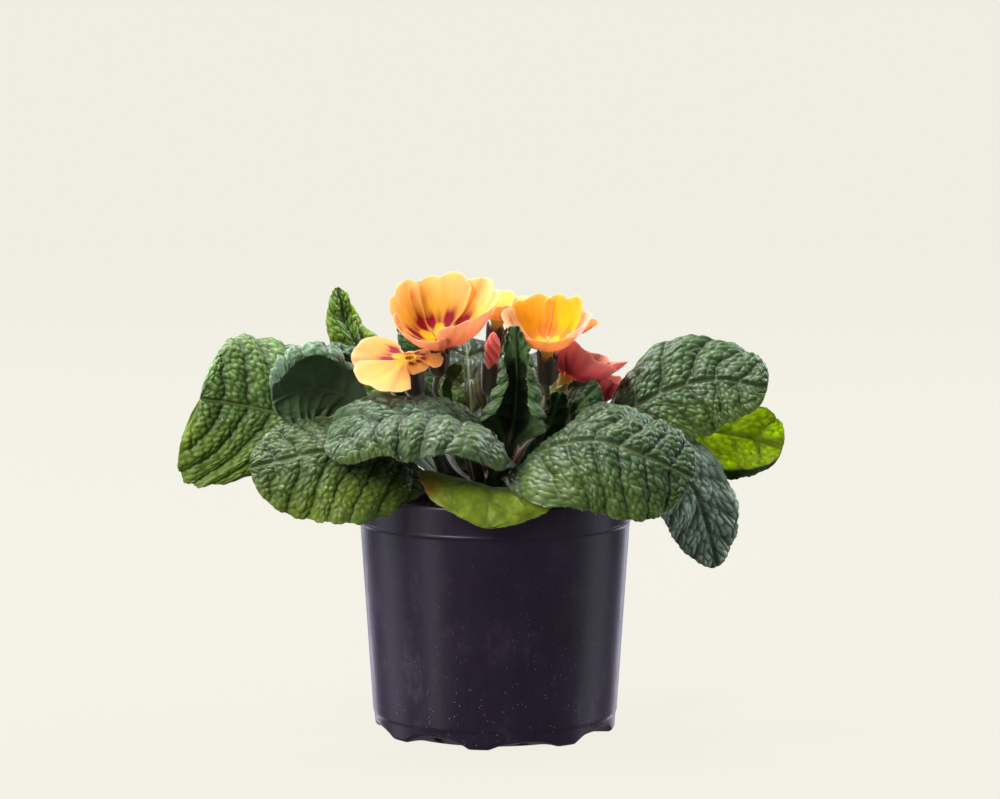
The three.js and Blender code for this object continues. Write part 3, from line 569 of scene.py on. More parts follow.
LEAVES = {
    "leaf_left_outer": dict(
        root=(-98, 84), rib=[(-45, 5, 108), (-70, 9, 116), (-92, 8, 122), (-112, 3, 126)],
        face=[(0, -0.5, 0.9), (-0.1, -0.95, 0.3), (-0.2, -0.95, 0.3)], half_width=33, widest=0.74,
        fold=(0, 12), curl=(-25, -60), sweep=(0.42, -0.06), veins=8, sides=(1, 0.92), detail=0.56,
        look=(90, 118, 56), glow=(0.1, 0.8, 0)),
    "leaf_left_arch": dict(
        root=(-72, 89), rib=[(-24, -6, 108), (-42, -8, 120), (-58, -13, 130), (-71, -18, 132.5),
                             (-83, -25, 128)],
        face=[(0.1, 0.7, 0.7), (0.1, 0.95, 0.25), (0, 0.9, 0.4)], half_width=27, widest=0.6, taper=3,
        stalk=0.56, fold=(5, -20), curl=(-165, -60), curl_power=3, sides=(1, 0.56), calm=0.7,
        look=(90, 120, 84), below=0.85, glow=(0, 0, 0.1)),
    "leaf_front_left_low": dict(
        root=(-48, 84), rib=[(-28, -27, 102), (-46, -41, 110), (-64, -48, 112), (-78, -48, 109),
                             (-90, -47, 106)],
        face=[(0, -0.6, 0.8), (-0.1, -0.75, 0.65), (-0.15, -0.8, 0.55)], half_width=27, stalk=0.12,
        fold=(-8, -12), curl=(-35, -20), veins=9, sides=(1, 0.86), look=(70, 90, 42), glow=(0, 0.85, 0)),
    "leaf_front_left_high": dict(
        root=(-8, 89), rib=[(1, -31, 108), (-10, -42, 120), (-29, -49, 125), (-46, -54, 122),
                            (-59, -60, 111.5)],
        face=[(0.2, -0.3, 0.9), (0.1, -0.25, 0.95), (-0.7, -0.5, 0.6)], half_width=29, widest=0.4,
        taper=3, opens=0.22, stalk=0.16, fold=(34, 16), curl=(-95, -45), curl_power=1.2, veins=8,
        sides=(1, 0.85), look=(62, 84, 56), glow=(0.15, 0.2, 0)),
    "leaf_front_old": dict(
        root=(4, 84), rib=[(-0.5, -29, 95.5), (-1, -40, 98.2), (-2, -51.5, 96.4), (-3, -59, 86)],
        face=[(0, -0.3, 0.95), (0, -0.55, 0.85), (0, -0.95, 0.35)], half_width=26, widest=0.6, point=0.8,
        stalk=0.1, fold=(0, 15), curl=(-20, -20), veins=5, relief=0.6, net=0.2, groove=0.25,
        look=(118, 134, 34), rib_shine=0.1, glow=(0.3, 0, 0.3),
        patch=((0.5, 0.95), (150, 96, 36), (0.2, 0.18))),
    "leaf_front_right": dict(
        root=(34, 84), rib=[(12, -29, 106), (24, -42, 114), (40, -48, 116), (57, -49, 110),
                            (73, -45, 102)],
        face=[(0, -0.5, 0.85), (0.1, -0.7, 0.7), (0.3, -0.9, 0.4)], half_width=28, widest=0.43, taper=4,
        opens=0.3, stalk=0.1, fold=(0, -6), curl=(-60, -36), veins=9, sides=(1, 0.95),
        look=(60, 84, 44), glow=(0, 0, 0.35)),
    "leaf_right_high": dict(
        root=(84, 89), rib=[(30, -4, 109), (46, -1, 119), (64, 3, 128.5), (84, 4, 133),
                            (103, 0, 130)],
        face=[(0, -0.5, 0.85), (0.1, -0.75, 0.65), (0.1, -0.75, 0.65)], half_width=21, curl=(-25, -35),
        fold=(4, -4), look=(66, 90, 48), rib_shine=0.25, glow=(0, 0, 0.3)),
    "leaf_right_lime": dict(
        root=(112, 84), rib=[(36, 18, 102), (60, 21, 110), (80, 17, 112), (96, 14, 110),
                             (110, 12, 106)],
        face=[(0.1, 0.4, 0.9), (0.1, 0.95, 0.2), (0.1, 0.98, 0.1)], half_width=19, curl=(-20, -70),
        curl_power=3, look=(166, 186, 62), below=1, fresh=(194, 210, 74), margin=(-1, (60, 84, 44)),
        glow=(0, 0.4, 0)),
    "leaf_right_hanging": dict(
        root=(68, 84), rib=[(38, -14, 102), (56, -16, 107), (69, -13, 101), (77, -10, 87),
                            (84, -7, 63)],
        face=[(0.1, -0.3, 0.95), (0.3, -0.7, 0.6), (0.35, -0.93, 0.1)], half_width=18, widest=0.5,
        point=0.8, fold=(6, 6), curl=(-20, -20), veins=6, look=(124, 144, 120)),
    "leaf_back_left_upright": dict(
        root=(-112, 94), rib=[(-23, 11, 114), (-38, 19, 128), (-50, 25, 138), (-58, 27, 151),
                              (-61, 28, 166)],
        face=[(0.3, -0.2, 0.9), (0.6, -0.6, 0.5), (0.7, -0.7, 0.1)], half_width=14, widest=0.3, point=1,
        fold=(20, 10), curl=(-70, -40), sides=(1, 1.15), veins=5, groove=0.3,
        look=(84, 122, 44), rib_shine=0.8, fresh=(150, 184, 34), glow=(0, 0.3, 0.8)),
    "leaf_left_arch_behind": dict(
        root=(-88, 95), rib=[(-24, 2, 114), (-40, 2, 132), (-56, -3, 143), (-70, -9, 147)],
        face=[(0.3, 0.3, 0.9), (0.2, 0.6, 0.8), (0.1, 0.7, 0.7)], half_width=13, stalk=0.55,
        curl=(-100, -60), veins=5, look=(52, 84, 50), below=0.3),
    "leaf_heart_front": dict(
        root=(10, 94), rise=8, rib=[(6.5, -17, 117), (8, -20.5, 132), (8, -25, 146), (7, -29, 157)],
        face=[(0, 0.9, 0.3), (0, 0.95, 0), (0, 0.95, 0)], half_width=21, widest=0.34, point=1.2, taper=1,
        opens=0.3, stalk=0.26, fold=(-10, -10), curl=(-185, -185), curl_power=2, veins=9, cells=0.65,
        calm=0.8, detail=0.4, look=(92, 120, 72), below=0.12, rib_shine=0, rolled=1),
    "leaf_heart_left": dict(
        root=(-38, 95), rise=8, rib=[(-11, -10.5, 116), (-14, -13, 129), (-13.5, -15, 141.5)],
        face=[(0.5, 0.8, 0.3), (0.6, 0.7, 0), (0.6, 0.7, 0)], half_width=9, widest=0.45, point=0.8,
        stalk=0.25, curl=(-150, -150), curl_power=1.3, veins=4, cells=0.7, detail=0.36,
        look=(124, 156, 84)),
    "leaf_heart_right": dict(
        root=(48, 94), rise=6, rib=[(16, -11.5, 111), (21, -13.5, 121), (24, -16.5, 131)],
        face=[(-0.5, 0.6, 0.5), (-0.4, 0.8, 0.2), (-0.4, 0.8, 0.2)], half_width=6.5, point=0.8,
        stalk=0.25, curl=(-100, -100), veins=4, look=(54, 84, 46)),
    "leaf_heart_far_right": dict(
        root=(84, 94), rise=6, rib=[(20, -5, 111), (28, -8, 120), (34, -12, 127.5), (39, -15, 133)],
        face=[(-0.3, -0.3, 0.9), (-0.3, -0.8, 0.5), (-0.3, -0.8, 0.5)], half_width=9, point=0.8,
        curl=(-100, -100), veins=4, look=(54, 84, 46)),
    "leaf_heart_back": dict(
        root=(-152, 93), rise=6, rib=[(-14, 20.5, 115), (-20.5, 31, 131), (-28.5, 37, 144),
                                      (-36, 40, 155)],
        face=[(0.4, -0.5, 0.7), (0.6, -0.8, 0.3), (0.6, -0.8, 0.3)], half_width=10, point=0.7,
        fold=(15, 15), curl=(-80, -80), veins=5, look=(56, 90, 48)),
    "leaf_back_left": dict(
        root=(-132, 84), rib=[(-32, 28, 103), (-50, 44, 112), (-66, 57, 110), (-78, 66, 99)],
        face=[(-0.2, 0.3, 0.95), (-0.4, 0.4, 0.8), (-0.6, 0.6, 0.4)], half_width=27, stalk=0.14,
        curl=(-50, -35), veins=6, detail=0.78, look=(54, 86, 46), below=0.3, glow=(0.2, 0, 0.2)),
    "leaf_back": dict(
        root=(178, 84), rib=[(2, 38, 99), (1, 58, 104.5), (-1, 77, 98), (-1, 88, 81)],
        face=[(0, 0.2, 1), (0.1, 0.4, 0.9), (0, 0.8, 0.5)], half_width=28, stalk=0.12,
        curl=(-35, -50), veins=6, detail=0.78, look=(58, 90, 46), below=0.3, glow=(0.3, 0, 0)),
    "leaf_back_right": dict(
        root=(146, 84), rib=[(27, 34, 102), (42, 52, 111), (55, 66, 109), (66, 76, 97)],
        face=[(0.2, 0.3, 0.95), (0.4, 0.4, 0.8), (0.6, 0.6, 0.4)], half_width=24, stalk=0.14,
        curl=(-35, -50), veins=6, detail=0.78, look=(56, 88, 50), glow=(0.2, 0.2, 0)),
    # the two high back leaves are painted nearly black, as painted shade in the gap behind the front flowers
    "leaf_back_high_left": dict(
        root=(-172, 91), rise=5, rib=[(-8, 27, 111), (-10, 39, 127), (-11, 49, 138), (-12, 58, 144)],
        face=[(0.1, -0.5, 0.8), (0.1, -0.6, 0.8), (0.1, -0.2, 0.95)], half_width=20, stalk=0.14,
        veins=5, net=0.4, detail=0.75, look=(30, 44, 24)),
    "leaf_back_high_right": dict(
        root=(138, 91), rise=5, rib=[(17, 24, 112), (24, 36, 127), (28, 46, 136.5), (31, 56, 140)],
        face=[(0.1, -0.5, 0.8), (0.1, -0.6, 0.8), (0.2, -0.2, 0.95)], half_width=20, stalk=0.15,
        veins=5, net=0.4, detail=0.75, look=(30, 44, 24)),
}
LEAF_MATERIALS = {"leaf_right_lime": (LEAF_YOUNG, "leaf_young"),
                  "leaf_front_old": (LEAF_OLD, "leaf_old")}
# painted shade in the leaves' furrows and a painted highlight on their pillow tops
FURROW_SHADE = 0.12
PILLOW_HIGHLIGHT = (1.65, 1.68, 1.8)
# the painted colour of light coming through a leaf
GLOW_TINT = (0.55, 0.62, 0.4)
UNDER_VEIN_TINT = (1.7, 1.6, 1.5)
NETLESS_TINT = (1, 1, 0.9)
# painted shade on the stalks in the dark of the rosette
DARKEST_STALK_SHADE = 0.14
STALK_SHADE_POWER = (0.75, 1.0, 1.0)
VEIN = linear((146, 164, 92))
STALK_FOOT = linear((84, 54, 40))
PALE_HAIR = linear((215, 218, 200))
# painted shade: the hairs under the stalk and midrib are dark
SHADED_HAIR = linear((60, 56, 44))


def leaf_frame(leaf, along):
    """The midrib's point and direction, the blade's face and its right hand."""
    bounded = np.clip(along, 0, 1)
    ahead = leaf.spine.ahead(bounded)
    steps = (len(leaf.faces) - 1) * bounded
    start = np.minimum(steps.astype(int), len(leaf.faces) - 2)
    share = (steps - start)[..., None]
    face = leaf.faces[start] * (1 - share) + leaf.faces[start + 1] * share
    face = unit(face - ahead * (face * ahead).sum(-1, keepdims=True))
    return leaf.spine.at(bounded), ahead, face, np.cross(ahead, face)


def half_width_at(leaf, along):
    share = np.maximum(0, (along - leaf.stalk) / (1 - leaf.stalk))
    rising = smooth(share / leaf.widest)
    falling = np.clip((share - leaf.widest) / (1 - leaf.widest), 0, 1)
    rounded = (1 - falling ** leaf.taper) ** leaf.point
    stalk = STALK_HALF_WIDTH * (1 - 0.6 * share)
    return stalk + (leaf.half_width - stalk) * rising * rounded


def leaf_surface(leaf, seed):
    """A leaf's upper and lower points and colours, its normals, and its share of length at each point."""
    span = leaf.spine.length
    blade = 1 - leaf.stalk
    rows = int(span * blade / leaf.detail / 2) * 2
    stalk_rows = max(4, int(span * leaf.stalk / 3) * 2)
    columns = int(leaf.half_width / leaf.detail) * 2
    v = np.concatenate([np.linspace(0, leaf.stalk, stalk_rows, endpoint=False),
                        np.linspace(leaf.stalk, 1, rows + 1)])
    v, s = np.meshgrid(v, np.linspace(-1, 1, columns + 1), indexing="ij")
    far = np.abs(s)
    side = (s >= 0).astype(int)
    hand = np.sign(s)
    lamina = np.clip((v - leaf.stalk) / blade, 0, 1)
    along = v + VEIN_SLANT * blade * far * 4 * lamina * (1 - lamina)
    place, ahead, face, right = leaf_frame(leaf, along)
    opened = smooth(lamina / leaf.opens)
    strips = leaf.veins * lamina

    def half(pair):
        """The left or the right value at each point."""
        return np.array(pair)[side]

    # outline and curl
    bulge = 0.5 - 0.5 * np.cos(TAU * strips)
    width = half_width_at(leaf, along) * half(leaf.sides) * (1 + SCALLOP * bulge)
    teeth = np.abs(np.sin(TAU * strips * 1.5 + seed)) * smooth((far - 0.8) / 0.2)
    width = width + TOOTH * teeth * opened
    ripple = MARGIN_WAVE * np.sin(TAU * MARGIN_WAVES * lamina + side * 2 + leaf.half_width)
    fold = np.radians(half(leaf.fold)) * opened * np.minimum(1, width / FULL_FOLD_WIDTH)
    most = TIGHTEST_CURL * width / leaf.curl_power
    curl = np.radians(np.clip(half(leaf.curl) + ripple, -most, most)) * opened
    across = 0
    rise = 0
    for i in range(CURL_STEPS):
        angle = fold + curl * (far * (i + 0.5) / CURL_STEPS) ** leaf.curl_power
        across = across + np.cos(angle) * far * width / CURL_STEPS
        rise = rise + np.sin(angle) * far * width / CURL_STEPS
    tilt = (fold + curl * far ** leaf.curl_power)[..., None]
    normal = face * np.cos(tilt) - right * hand[..., None] * np.sin(tilt)

    def cloud(shift, length, breadth):
        """Noise in lumps of this length and breadth, in millimetres of the leaf."""
        return noise(seed + shift, along * span / length, s * leaf.half_width / breadth)

    # relief: strips between the side veins, pillows of the net in them, and the midrib's groove
    from_rib = far * width
    strip = span * blade / leaf.veins
    cells = leaf.cells
    lanes = max(1, round(strip / PILLOW_LENGTH / cells))
    wander = cloud(5, 9, 7)
    bent = strips + STRIP_WANDER * wander
    border, own = cellular(seed, bent * lanes, from_rib / (PILLOW_WIDTH * cells) + 0.3 * wander + side * 40,
                           strip / lanes, PILLOW_WIDTH * cells)
    pillow = np.sqrt(1 - (1 - np.clip(border / 1.05 / cells, 0, 1)) ** 2)
    arch = np.abs(np.sin(math.pi * bent))
    from_vein = arch * strip / math.pi
    soft_strip = arch ** 0.8
    fading = smooth((from_rib - 0.2) / 1.3) * opened
    height = (STRIP_HEIGHT * leaf.relief * soft_strip
              + leaf.net * cells * PILLOW_HEIGHT * pillow * (0.65 + 0.7 * own)
              - FURROW_DEPTH * (leaf.relief / RELIEF) * bell(from_vein, VEIN_WIDTH)
              + PUCKER * cloud(9, 6, 5) - RELIEF_SEAT * cells)
    height = height * (1 - 0.5 * smooth((far - 0.8) / 0.2)) * fading
    height = height * (1 - leaf.calm * smooth((0.72 - far) / 0.2))
    height = height - MIDRIB_GROOVE * bell(from_rib, 0.7) * np.minimum(1, opened + 0.5) * leaf.groove
    sweep = half(leaf.sweep) * s * s * width * opened
    point = (place + right * (hand * across)[..., None] + face * rise[..., None]
             + ahead * sweep[..., None] + normal * height[..., None])
    bounded = np.clip(along, 0, 1)
    keel = TIP_KEEL + (STALK_KEEL - TIP_KEEL) * (1 - np.sqrt(bounded))
    thick = BLADE_THICKNESS * (1 - 0.4 * far) + keel * bell(from_rib, 0.7 + 1.2 * (1 - bounded))
    thick = thick + UNDER_VEIN * bell(from_vein, VEIN_WIDTH) * fading * (1 - far)
    under = point - normal * thick[..., None]

    # colour above: painted shade in the furrows, a painted highlight, pale and bluish, on the pillows, and
    # the painted colour of light coming through
    base, fresh = linear(leaf.look), linear(leaf.fresh)
    tip, left, right_glow = leaf.glow
    glow = tip * lamina ** 3 + left * smooth((-s - 0.1) / 0.8) + right_glow * smooth((s - 0.1) / 0.8)
    glow = np.clip(glow * opened * (0.85 + 0.5 * cloud(3, 14, 14)), 0, 1)
    lit_tops = np.clip(pillow * (0.45 + 0.55 * soft_strip), 0, 1) * fading
    lit_tops = 1 - (1 - lit_tops) * leaf.net
    smoothed = 1 - 0.6 * leaf.net
    upper = blended(base * FURROW_SHADE, base * PILLOW_HIGHLIGHT, lit_tops * fading + smoothed * (1 - fading))
    upper = blended(upper, fresh * GLOW_TINT, glow * 0.8)
    upper = blended(upper, fresh, glow * lit_tops * 0.85)
    if leaf.net < 1:
        mottle = (noise(seed + 11, along * span / 5, from_rib / 4)
                  + 0.6 * noise(seed + 12, along * span / 2, from_rib / 2))
        upper = upper * (1 + 0.3 * mottle[..., None]) * NETLESS_TINT
    upper = blended(upper, VEIN * 0.8, bell(from_rib, 0.32 + 0.4 * (1 - lamina)) * leaf.rib_shine)
    upper = blended(upper, VEIN * 0.55 + 0.3 * base,
                    bell(from_vein, 0.22) * fading * 0.45 * (1 - 0.5 * far))
    upper = blended(upper, STALK_FOOT, (1 - smooth(v / 0.14)) * 0.6)
    # painted shade: the stalk lies in the dark of the rosette, so its colour is darkened there, less in red,
    # so that it stays reddish
    stalk_shade = DARKEST_STALK_SHADE + (1 - DARKEST_STALK_SHADE) * smooth((v - leaf.stalk) / 0.08 + 0.3)
    stalk_shade = stalk_shade[..., None] ** STALK_SHADE_POWER
    upper = upper * stalk_shade
    if leaf.patch:
        (spot_v, spot_s), spot_colour, (spot_length, spot_breadth) = leaf.patch
        spot = np.exp(-((lamina - spot_v) / spot_length) ** 2 - ((s - spot_s) / spot_breadth) ** 2)
        spot = np.clip(spot * (1.1 + 0.5 * noise(seed + 7, along * span / 4, from_rib / 4)), 0, 1)
        upper = blended(upper, linear(spot_colour), spot * 0.85)

    # colour below: a share of the blade's colour, kept low as painted shade where the underside lies in the
    # dark, paler veins, the painted colour of light coming through, and the upper colour where the blade
    # rolls over
    underside = base * leaf.below
    lower = blended(underside, underside * UNDER_VEIN_TINT, bell(from_vein, 0.35) * fading * 0.6)
    lower = blended(lower, VEIN * 0.6, bell(from_rib, 0.32 + 0.4 * (1 - lamina)) * 0.6)
    lower = blended(lower, fresh, glow * 0.6) * stalk_shade
    rolled = smooth((far - 0.3 + 0.9 * smooth((lamina - 0.62) / 0.3)) / 0.15)
    lower = blended(lower, upper, rolled * leaf.rolled)
    if leaf.margin:
        margin_hand, margin_colour = leaf.margin
        margin = smooth((s * margin_hand - 0.76) / 0.08)
        upper = blended(upper, linear(margin_colour), margin)
        lower = blended(lower, linear(margin_colour), margin)
    return point, under[::2, ::2], upper, lower[::2, ::2], normal, v[:, 0]


def make_leaf(name, shape, seed):
    leaf = SimpleNamespace(**{**LEAF_DEFAULTS, **shape})
    start = on_crown(leaf.root, LEAF_SEAT)
    away = outward(math.radians(leaf.root[0]))
    second = start + away * (UPRIGHT_REACH if leaf.rise else FIRST_REACH) + UP * (leaf.rise or FIRST_RISE)
    leaf.spine = Spine([start, second, *leaf.rib])
    leaf.faces = np.array([UP - away * STALK_FACE_LEAN, *leaf.face])
    point, under, upper, lower, normal, v = leaf_surface(leaf, seed)
    sheets = Sheets()
    sheets.grid(point, under, upper, lower)

    # short hairs along the margin and under the stalk and midrib, those underneath painted dark as shade
    rng = np.random.default_rng(seed)
    rows, columns = point.shape[:2]
    picks = rng.integers(0, rows, MARGIN_HAIRS)
    ends = rng.choice([0, columns - 1], MARGIN_HAIRS)
    lean = unit(point[picks, ends] - point[picks, np.where(ends == 0, 2, columns - 3)])
    lean = lean + rng.normal(0, 0.35, lean.shape)
    sheets.hairs(point[picks, ends], lean, rng.uniform(*MARGIN_HAIR_LENGTHS, MARGIN_HAIRS),
                 MARGIN_HAIR_RADIUS, PALE_HAIR)
    hairy_rows = max(3, int((v < leaf.stalk + 0.25).sum()) // 2)
    picks = rng.integers(0, hairy_rows, KEEL_HAIRS)
    lanes = columns // 4 + rng.normal(0, columns * 0.03, KEEL_HAIRS)
    lanes = np.clip(lanes, 1, columns // 2 - 2).astype(int)
    lean = -normal[2 * picks, 2 * lanes] + rng.normal(0, 0.5, (KEEL_HAIRS, 3))
    sheets.hairs(under[picks, lanes], lean, rng.uniform(*KEEL_HAIR_LENGTHS, KEEL_HAIRS), HAIR_RADIUS,
                 SHADED_HAIR)
    material, slot = LEAF_MATERIALS.get(name, (LEAF, "leaf"))
    sheets.build(name, material)


for number, (name, shape) in enumerate(LEAVES.items()):
    make_leaf(name, shape, 100 + 20 * number)


# ---------------------------------------------------------------- flowers

# The options of a flower. root is the azimuth and height on the rootstock, via points of its stalk,
# centre and facing the place and axis of the mouth, radius the bloom's, spin the turn of the petals,
# opening how the cup's angle grows outward. cup, reach, marks and tints have one value for each petal: its
# angle, its share of the radius, the strength of its dark marks and its main colour. look is the colours
# of the whole bloom, calyx a green and a pale colour, and folded says that the petals are still rolled up.
ORANGE = dict(main=(255, 206, 76), rim=(255, 224, 160), mark=(150, 0, 40), eye=(255, 208, 40),
              back=(226, 120, 118))
YELLOW = dict(main=(255, 218, 60), rim=(255, 216, 120), mark=(236, 150, 50), eye=(255, 214, 40),
              back=(232, 150, 140))
CORAL = dict(main=(216, 104, 104), rim=(240, 176, 164), mark=(110, 10, 44), eye=(250, 190, 40),
             back=(186, 84, 92))
FLOWER_DEFAULTS = dict(
    spin=0, via=[], opening=OPENING, reach=(1,) * PETALS, marks=(1,) * PETALS, tints=None, folded=False,
    slot="petal_orange", calyx=((40, 35, 31), (66, 60, 46)))
FLOWERS = {
    "flower_front_left": dict(
        root=(-20, 98.5), via=[(-9, -3, 118)], centre=(-20.5, -16, 150), facing=(0.06, -0.5, 0.86),
        spin=4, radius=25.5, cup=(34, 38, 43, 30, 36), reach=(1, 1.14, 1.14, 1, 1), look=ORANGE),
    "flower_left": dict(
        root=(-66, 96), via=[(-19, -9.5, 119)], centre=(-31.5, -27.5, 145), facing=(-0.14, -0.32, 0.94),
        spin=-9, radius=22, cup=(-10, -10, -18, -4, 8), reach=(0.5, 0.55, 0.4, 1, 1),
        look=ORANGE, marks=(1, 1, 1, 0.15, 1),
        tints=((255, 190, 84), (255, 190, 84), (255, 190, 84), (255, 196, 84), (255, 172, 76))),
    "flower_right": dict(
        root=(25, 98.5), centre=(19.8, -10, 147), facing=(0.03, -0.3, 0.95), spin=-36, radius=21,
        cup=(46, 36, 26, 30, 36), look=YELLOW,
        tints=((255, 212, 8), (255, 222, 212), (255, 208, 70), (255, 240, 200), (255, 196, 30))),
    "flower_right_side": dict(
        root=(72, 97.6), via=[(16.5, 4.5, 113)], centre=(27, 5, 134), facing=(0.5, 0.08, 0.86), spin=-18,
        radius=23.5, cup=(36, 38, 26, 40, 46), reach=(0.85, 1, 1, 0.75, 0.75), look=CORAL,
        slot="petal_coral", calyx=((104, 112, 48), (150, 150, 80))),
    "flower_far_right": dict(
        root=(100, 97), centre=(39.5, 17.5, 122.5), facing=(0.55, -0.1, 0.8), radius=13,
        cup=(64,) * PETALS, opening=(0.8, 0.2), look=CORAL, slot="petal_coral"),
    "flower_middle": dict(
        root=(170, 98), centre=(1, 17, 155), facing=(0.1, -0.1, 0.95), spin=12, radius=16,
        cup=(26,) * PETALS, look=YELLOW),
    "flower_back_left": dict(
        root=(-140, 97), centre=(-24, 24, 155), facing=(-0.15, 0.2, 0.95), spin=40, radius=17,
        cup=(22,) * PETALS, look=ORANGE),
    "flower_back_right": dict(
        root=(135, 97.5), centre=(24, 26, 147), facing=(0.1, 0.2, 0.95), spin=4, radius=17,
        cup=(22,) * PETALS, look=YELLOW),
    "bud_coral": dict(
        root=(-80, 99), centre=(-1, -5.5, 143.5), facing=(0.05, -0.1, 0.98), slot="petal_coral",
        folded=True),
}
GREEN_BUDS = {
    "bud_green_back": dict(root=(-168, 99), centre=(-6, 13, 138), facing=(-0.1, 0.2, 0.95)),
    "bud_green_right": dict(root=(95, 98.5), centre=(13.5, 9.5, 136), facing=(0.2, 0.1, 0.95)),
}
PETAL_EDGE = linear((255, 224, 180))
EYE_RIM = linear((196, 120, 10))
TUBE_INSIDE = linear((120, 70, 8))
TUBE_OUTSIDE = linear((216, 190, 110))
ANTHER = linear((226, 176, 40))
STIGMA = linear((170, 178, 70))
BUD_PALE = linear((246, 176, 160))
BUD_CORAL = linear((214, 96, 100))
BUD_RIDGE = linear((54, 62, 36))
BUD_FURROW = linear((92, 92, 56))
STALK_LOW = linear((96, 52, 40))
STALK_HIGH = linear((88, 84, 48))
STALK_HAIR = linear((150, 146, 126))
CALYX_TIP = linear((150, 84, 60))
CALYX_HAIR = linear((96, 96, 82))


class Pose:
    """Sets points made round +Z at a flower's place, looking along its axis."""

    def __init__(self, flower):
        self.flower = flower
        self.place = np.array(flower.centre, float)
        self.axis = unit(np.array(flower.facing, float))
        self.plain = np.array(Vector((0, 0, 1)).rotation_difference(Vector(self.axis)).to_matrix())
        spin = math.radians(flower.spin)
        self.matrix = self.plain @ np.array([[math.cos(spin), -math.sin(spin), 0],
                                             [math.sin(spin), math.cos(spin), 0], [0, 0, 1]])
        self.end = self.place - self.axis * (TUBE_LENGTH + CLEARANCE + CALYX_FOOT)

    def set(self, points, spun=True):
        return points @ (self.matrix if spun else self.plain).T + self.place


def petal(flower, order, seed, rows, columns):
    """One petal as a thin closed sheet, with its colours, in the flower's own frame."""
    out, across = np.meshgrid(np.linspace(0, 1, rows), np.linspace(-1, 1, columns), indexing="ij")
    far = np.abs(across)
    full = flower.radius * flower.reach[order]
    notch = 0.05 * bell(across, PETAL_HEART) + 0.17 * far ** 4
    lobes = 0.02 * noise(seed, across * 4 + 3, out * 0 + order)
    reach = THROAT_RADIUS + out * (full * (1.02 - (notch + lobes) * out) - THROAT_RADIUS)
    half = np.radians(PETAL_HALF_ANGLE + PETAL_SPREAD * smooth(out * 1.6))
    angle = math.radians(order * 360 / PETALS) + across * half
    cups = np.array(flower.cup, float)
    neighbour = (order + np.sign(across).astype(int)) % PETALS
    cup = cups[order] + (cups[neighbour] - cups[order]) * across ** 2 / 2
    start, more = flower.opening
    slope = np.radians(cup) * (start + more * out)
    layer = PETAL_LAYER * across * (reach - THROAT_RADIUS)
    ruffle = (0.5 * out ** 2 * np.sin(across * 3.4 + order * 1.7)
              + 0.4 * out ** 3 * noise(seed + 1, across * 3.5, out * 2))
    crease = -0.3 * bell(across, PETAL_HEART) * np.sin(math.pi * np.clip(out * 1.1, 0, 1))
    ribs = 0.05 * np.sin(across * 34) * out
    flat = reach * np.cos(slope)
    height = reach * np.sin(slope) + layer + ruffle + crease + ribs
    upper = np.stack([np.sin(angle) * flat, np.cos(angle) * flat, height], -1)
    normal = unit(np.cross(np.gradient(upper, axis=1), np.gradient(upper, axis=0)))
    lower = upper - normal * (PETAL_THICKNESS * (1 - 0.45 * out))[..., None]

    # above: a paler rim, the shadow of the next petal, two dark flames joined by a tail, and the eye
    main, rim, mark, eye, outside = map(linear, flower.look.values())
    if flower.tints:
        main = linear(flower.tints[order])
        rim = 0.7 * main + 0.3 * rim
    streak = noise(seed + 2, across * 9, out * 1.5)
    lengthwise = smooth(out / 0.3) * (1 - 0.5 * out)
    colour = blended(main, rim, smooth((out - 0.45 + 0.1 * streak) / 0.6))
    edge = np.maximum(smooth((out - 0.9) / 0.1), smooth((far - 0.82) / 0.18) * out)
    colour = blended(colour, PETAL_EDGE, edge * 0.5)
    colour = blended(colour, mark * 0.6 + main * 0.35, bell(across + OVERLAP_EDGE, 0.13) * lengthwise * 0.7)
    flame = bell(out - 0.33 - 0.08 * streak, 0.17) * (
        0.25 + 0.75 * smooth((far - 0.12) / 0.3) * smooth((1 - far) / 0.25))
    tail = smooth((0.62 - out) / 0.3) * smooth((out - 0.2) / 0.1) * bell(across, PETAL_HEART) * 0.55
    marks = np.clip(flame * 1.35 + tail + 0.12 * streak * flame, 0, 1) * flower.marks[order]
    colour = blended(colour, mark, marks)
    colour = blended(colour, eye, smooth((0.235 + 0.08 * np.cos(across * math.pi) - out) / 0.06))
    colour = blended(colour, EYE_RIM, smooth((0.07 - out) / 0.06) * 0.6)

    # below: the back's colour is strong on the petals that show it to the front
    if order not in FRONT_PETALS:
        outside = 0.25 * outside + 0.75 * main
    back = blended(outside, rim, smooth((out - 0.5) / 0.6) * 0.4)
    # a painted shadow of the next petal along the overlap, and darker towards the base
    shadow_and_dark_base = bell(across - OVERLAP_EDGE, 0.13) * lengthwise * 0.6 + 0.5 * (1 - smooth(out / 0.5))
    back = blended(back, mark * 0.5 + outside * 0.4, shadow_and_dark_base)
    back = back * (1 + 0.12 * streak[..., None])
    flows = np.stack([across + 3 * order, out, np.full_like(out, seed % 97)], -1)
    return upper, lower[::2, ::2], colour, back[::2, ::2], flows


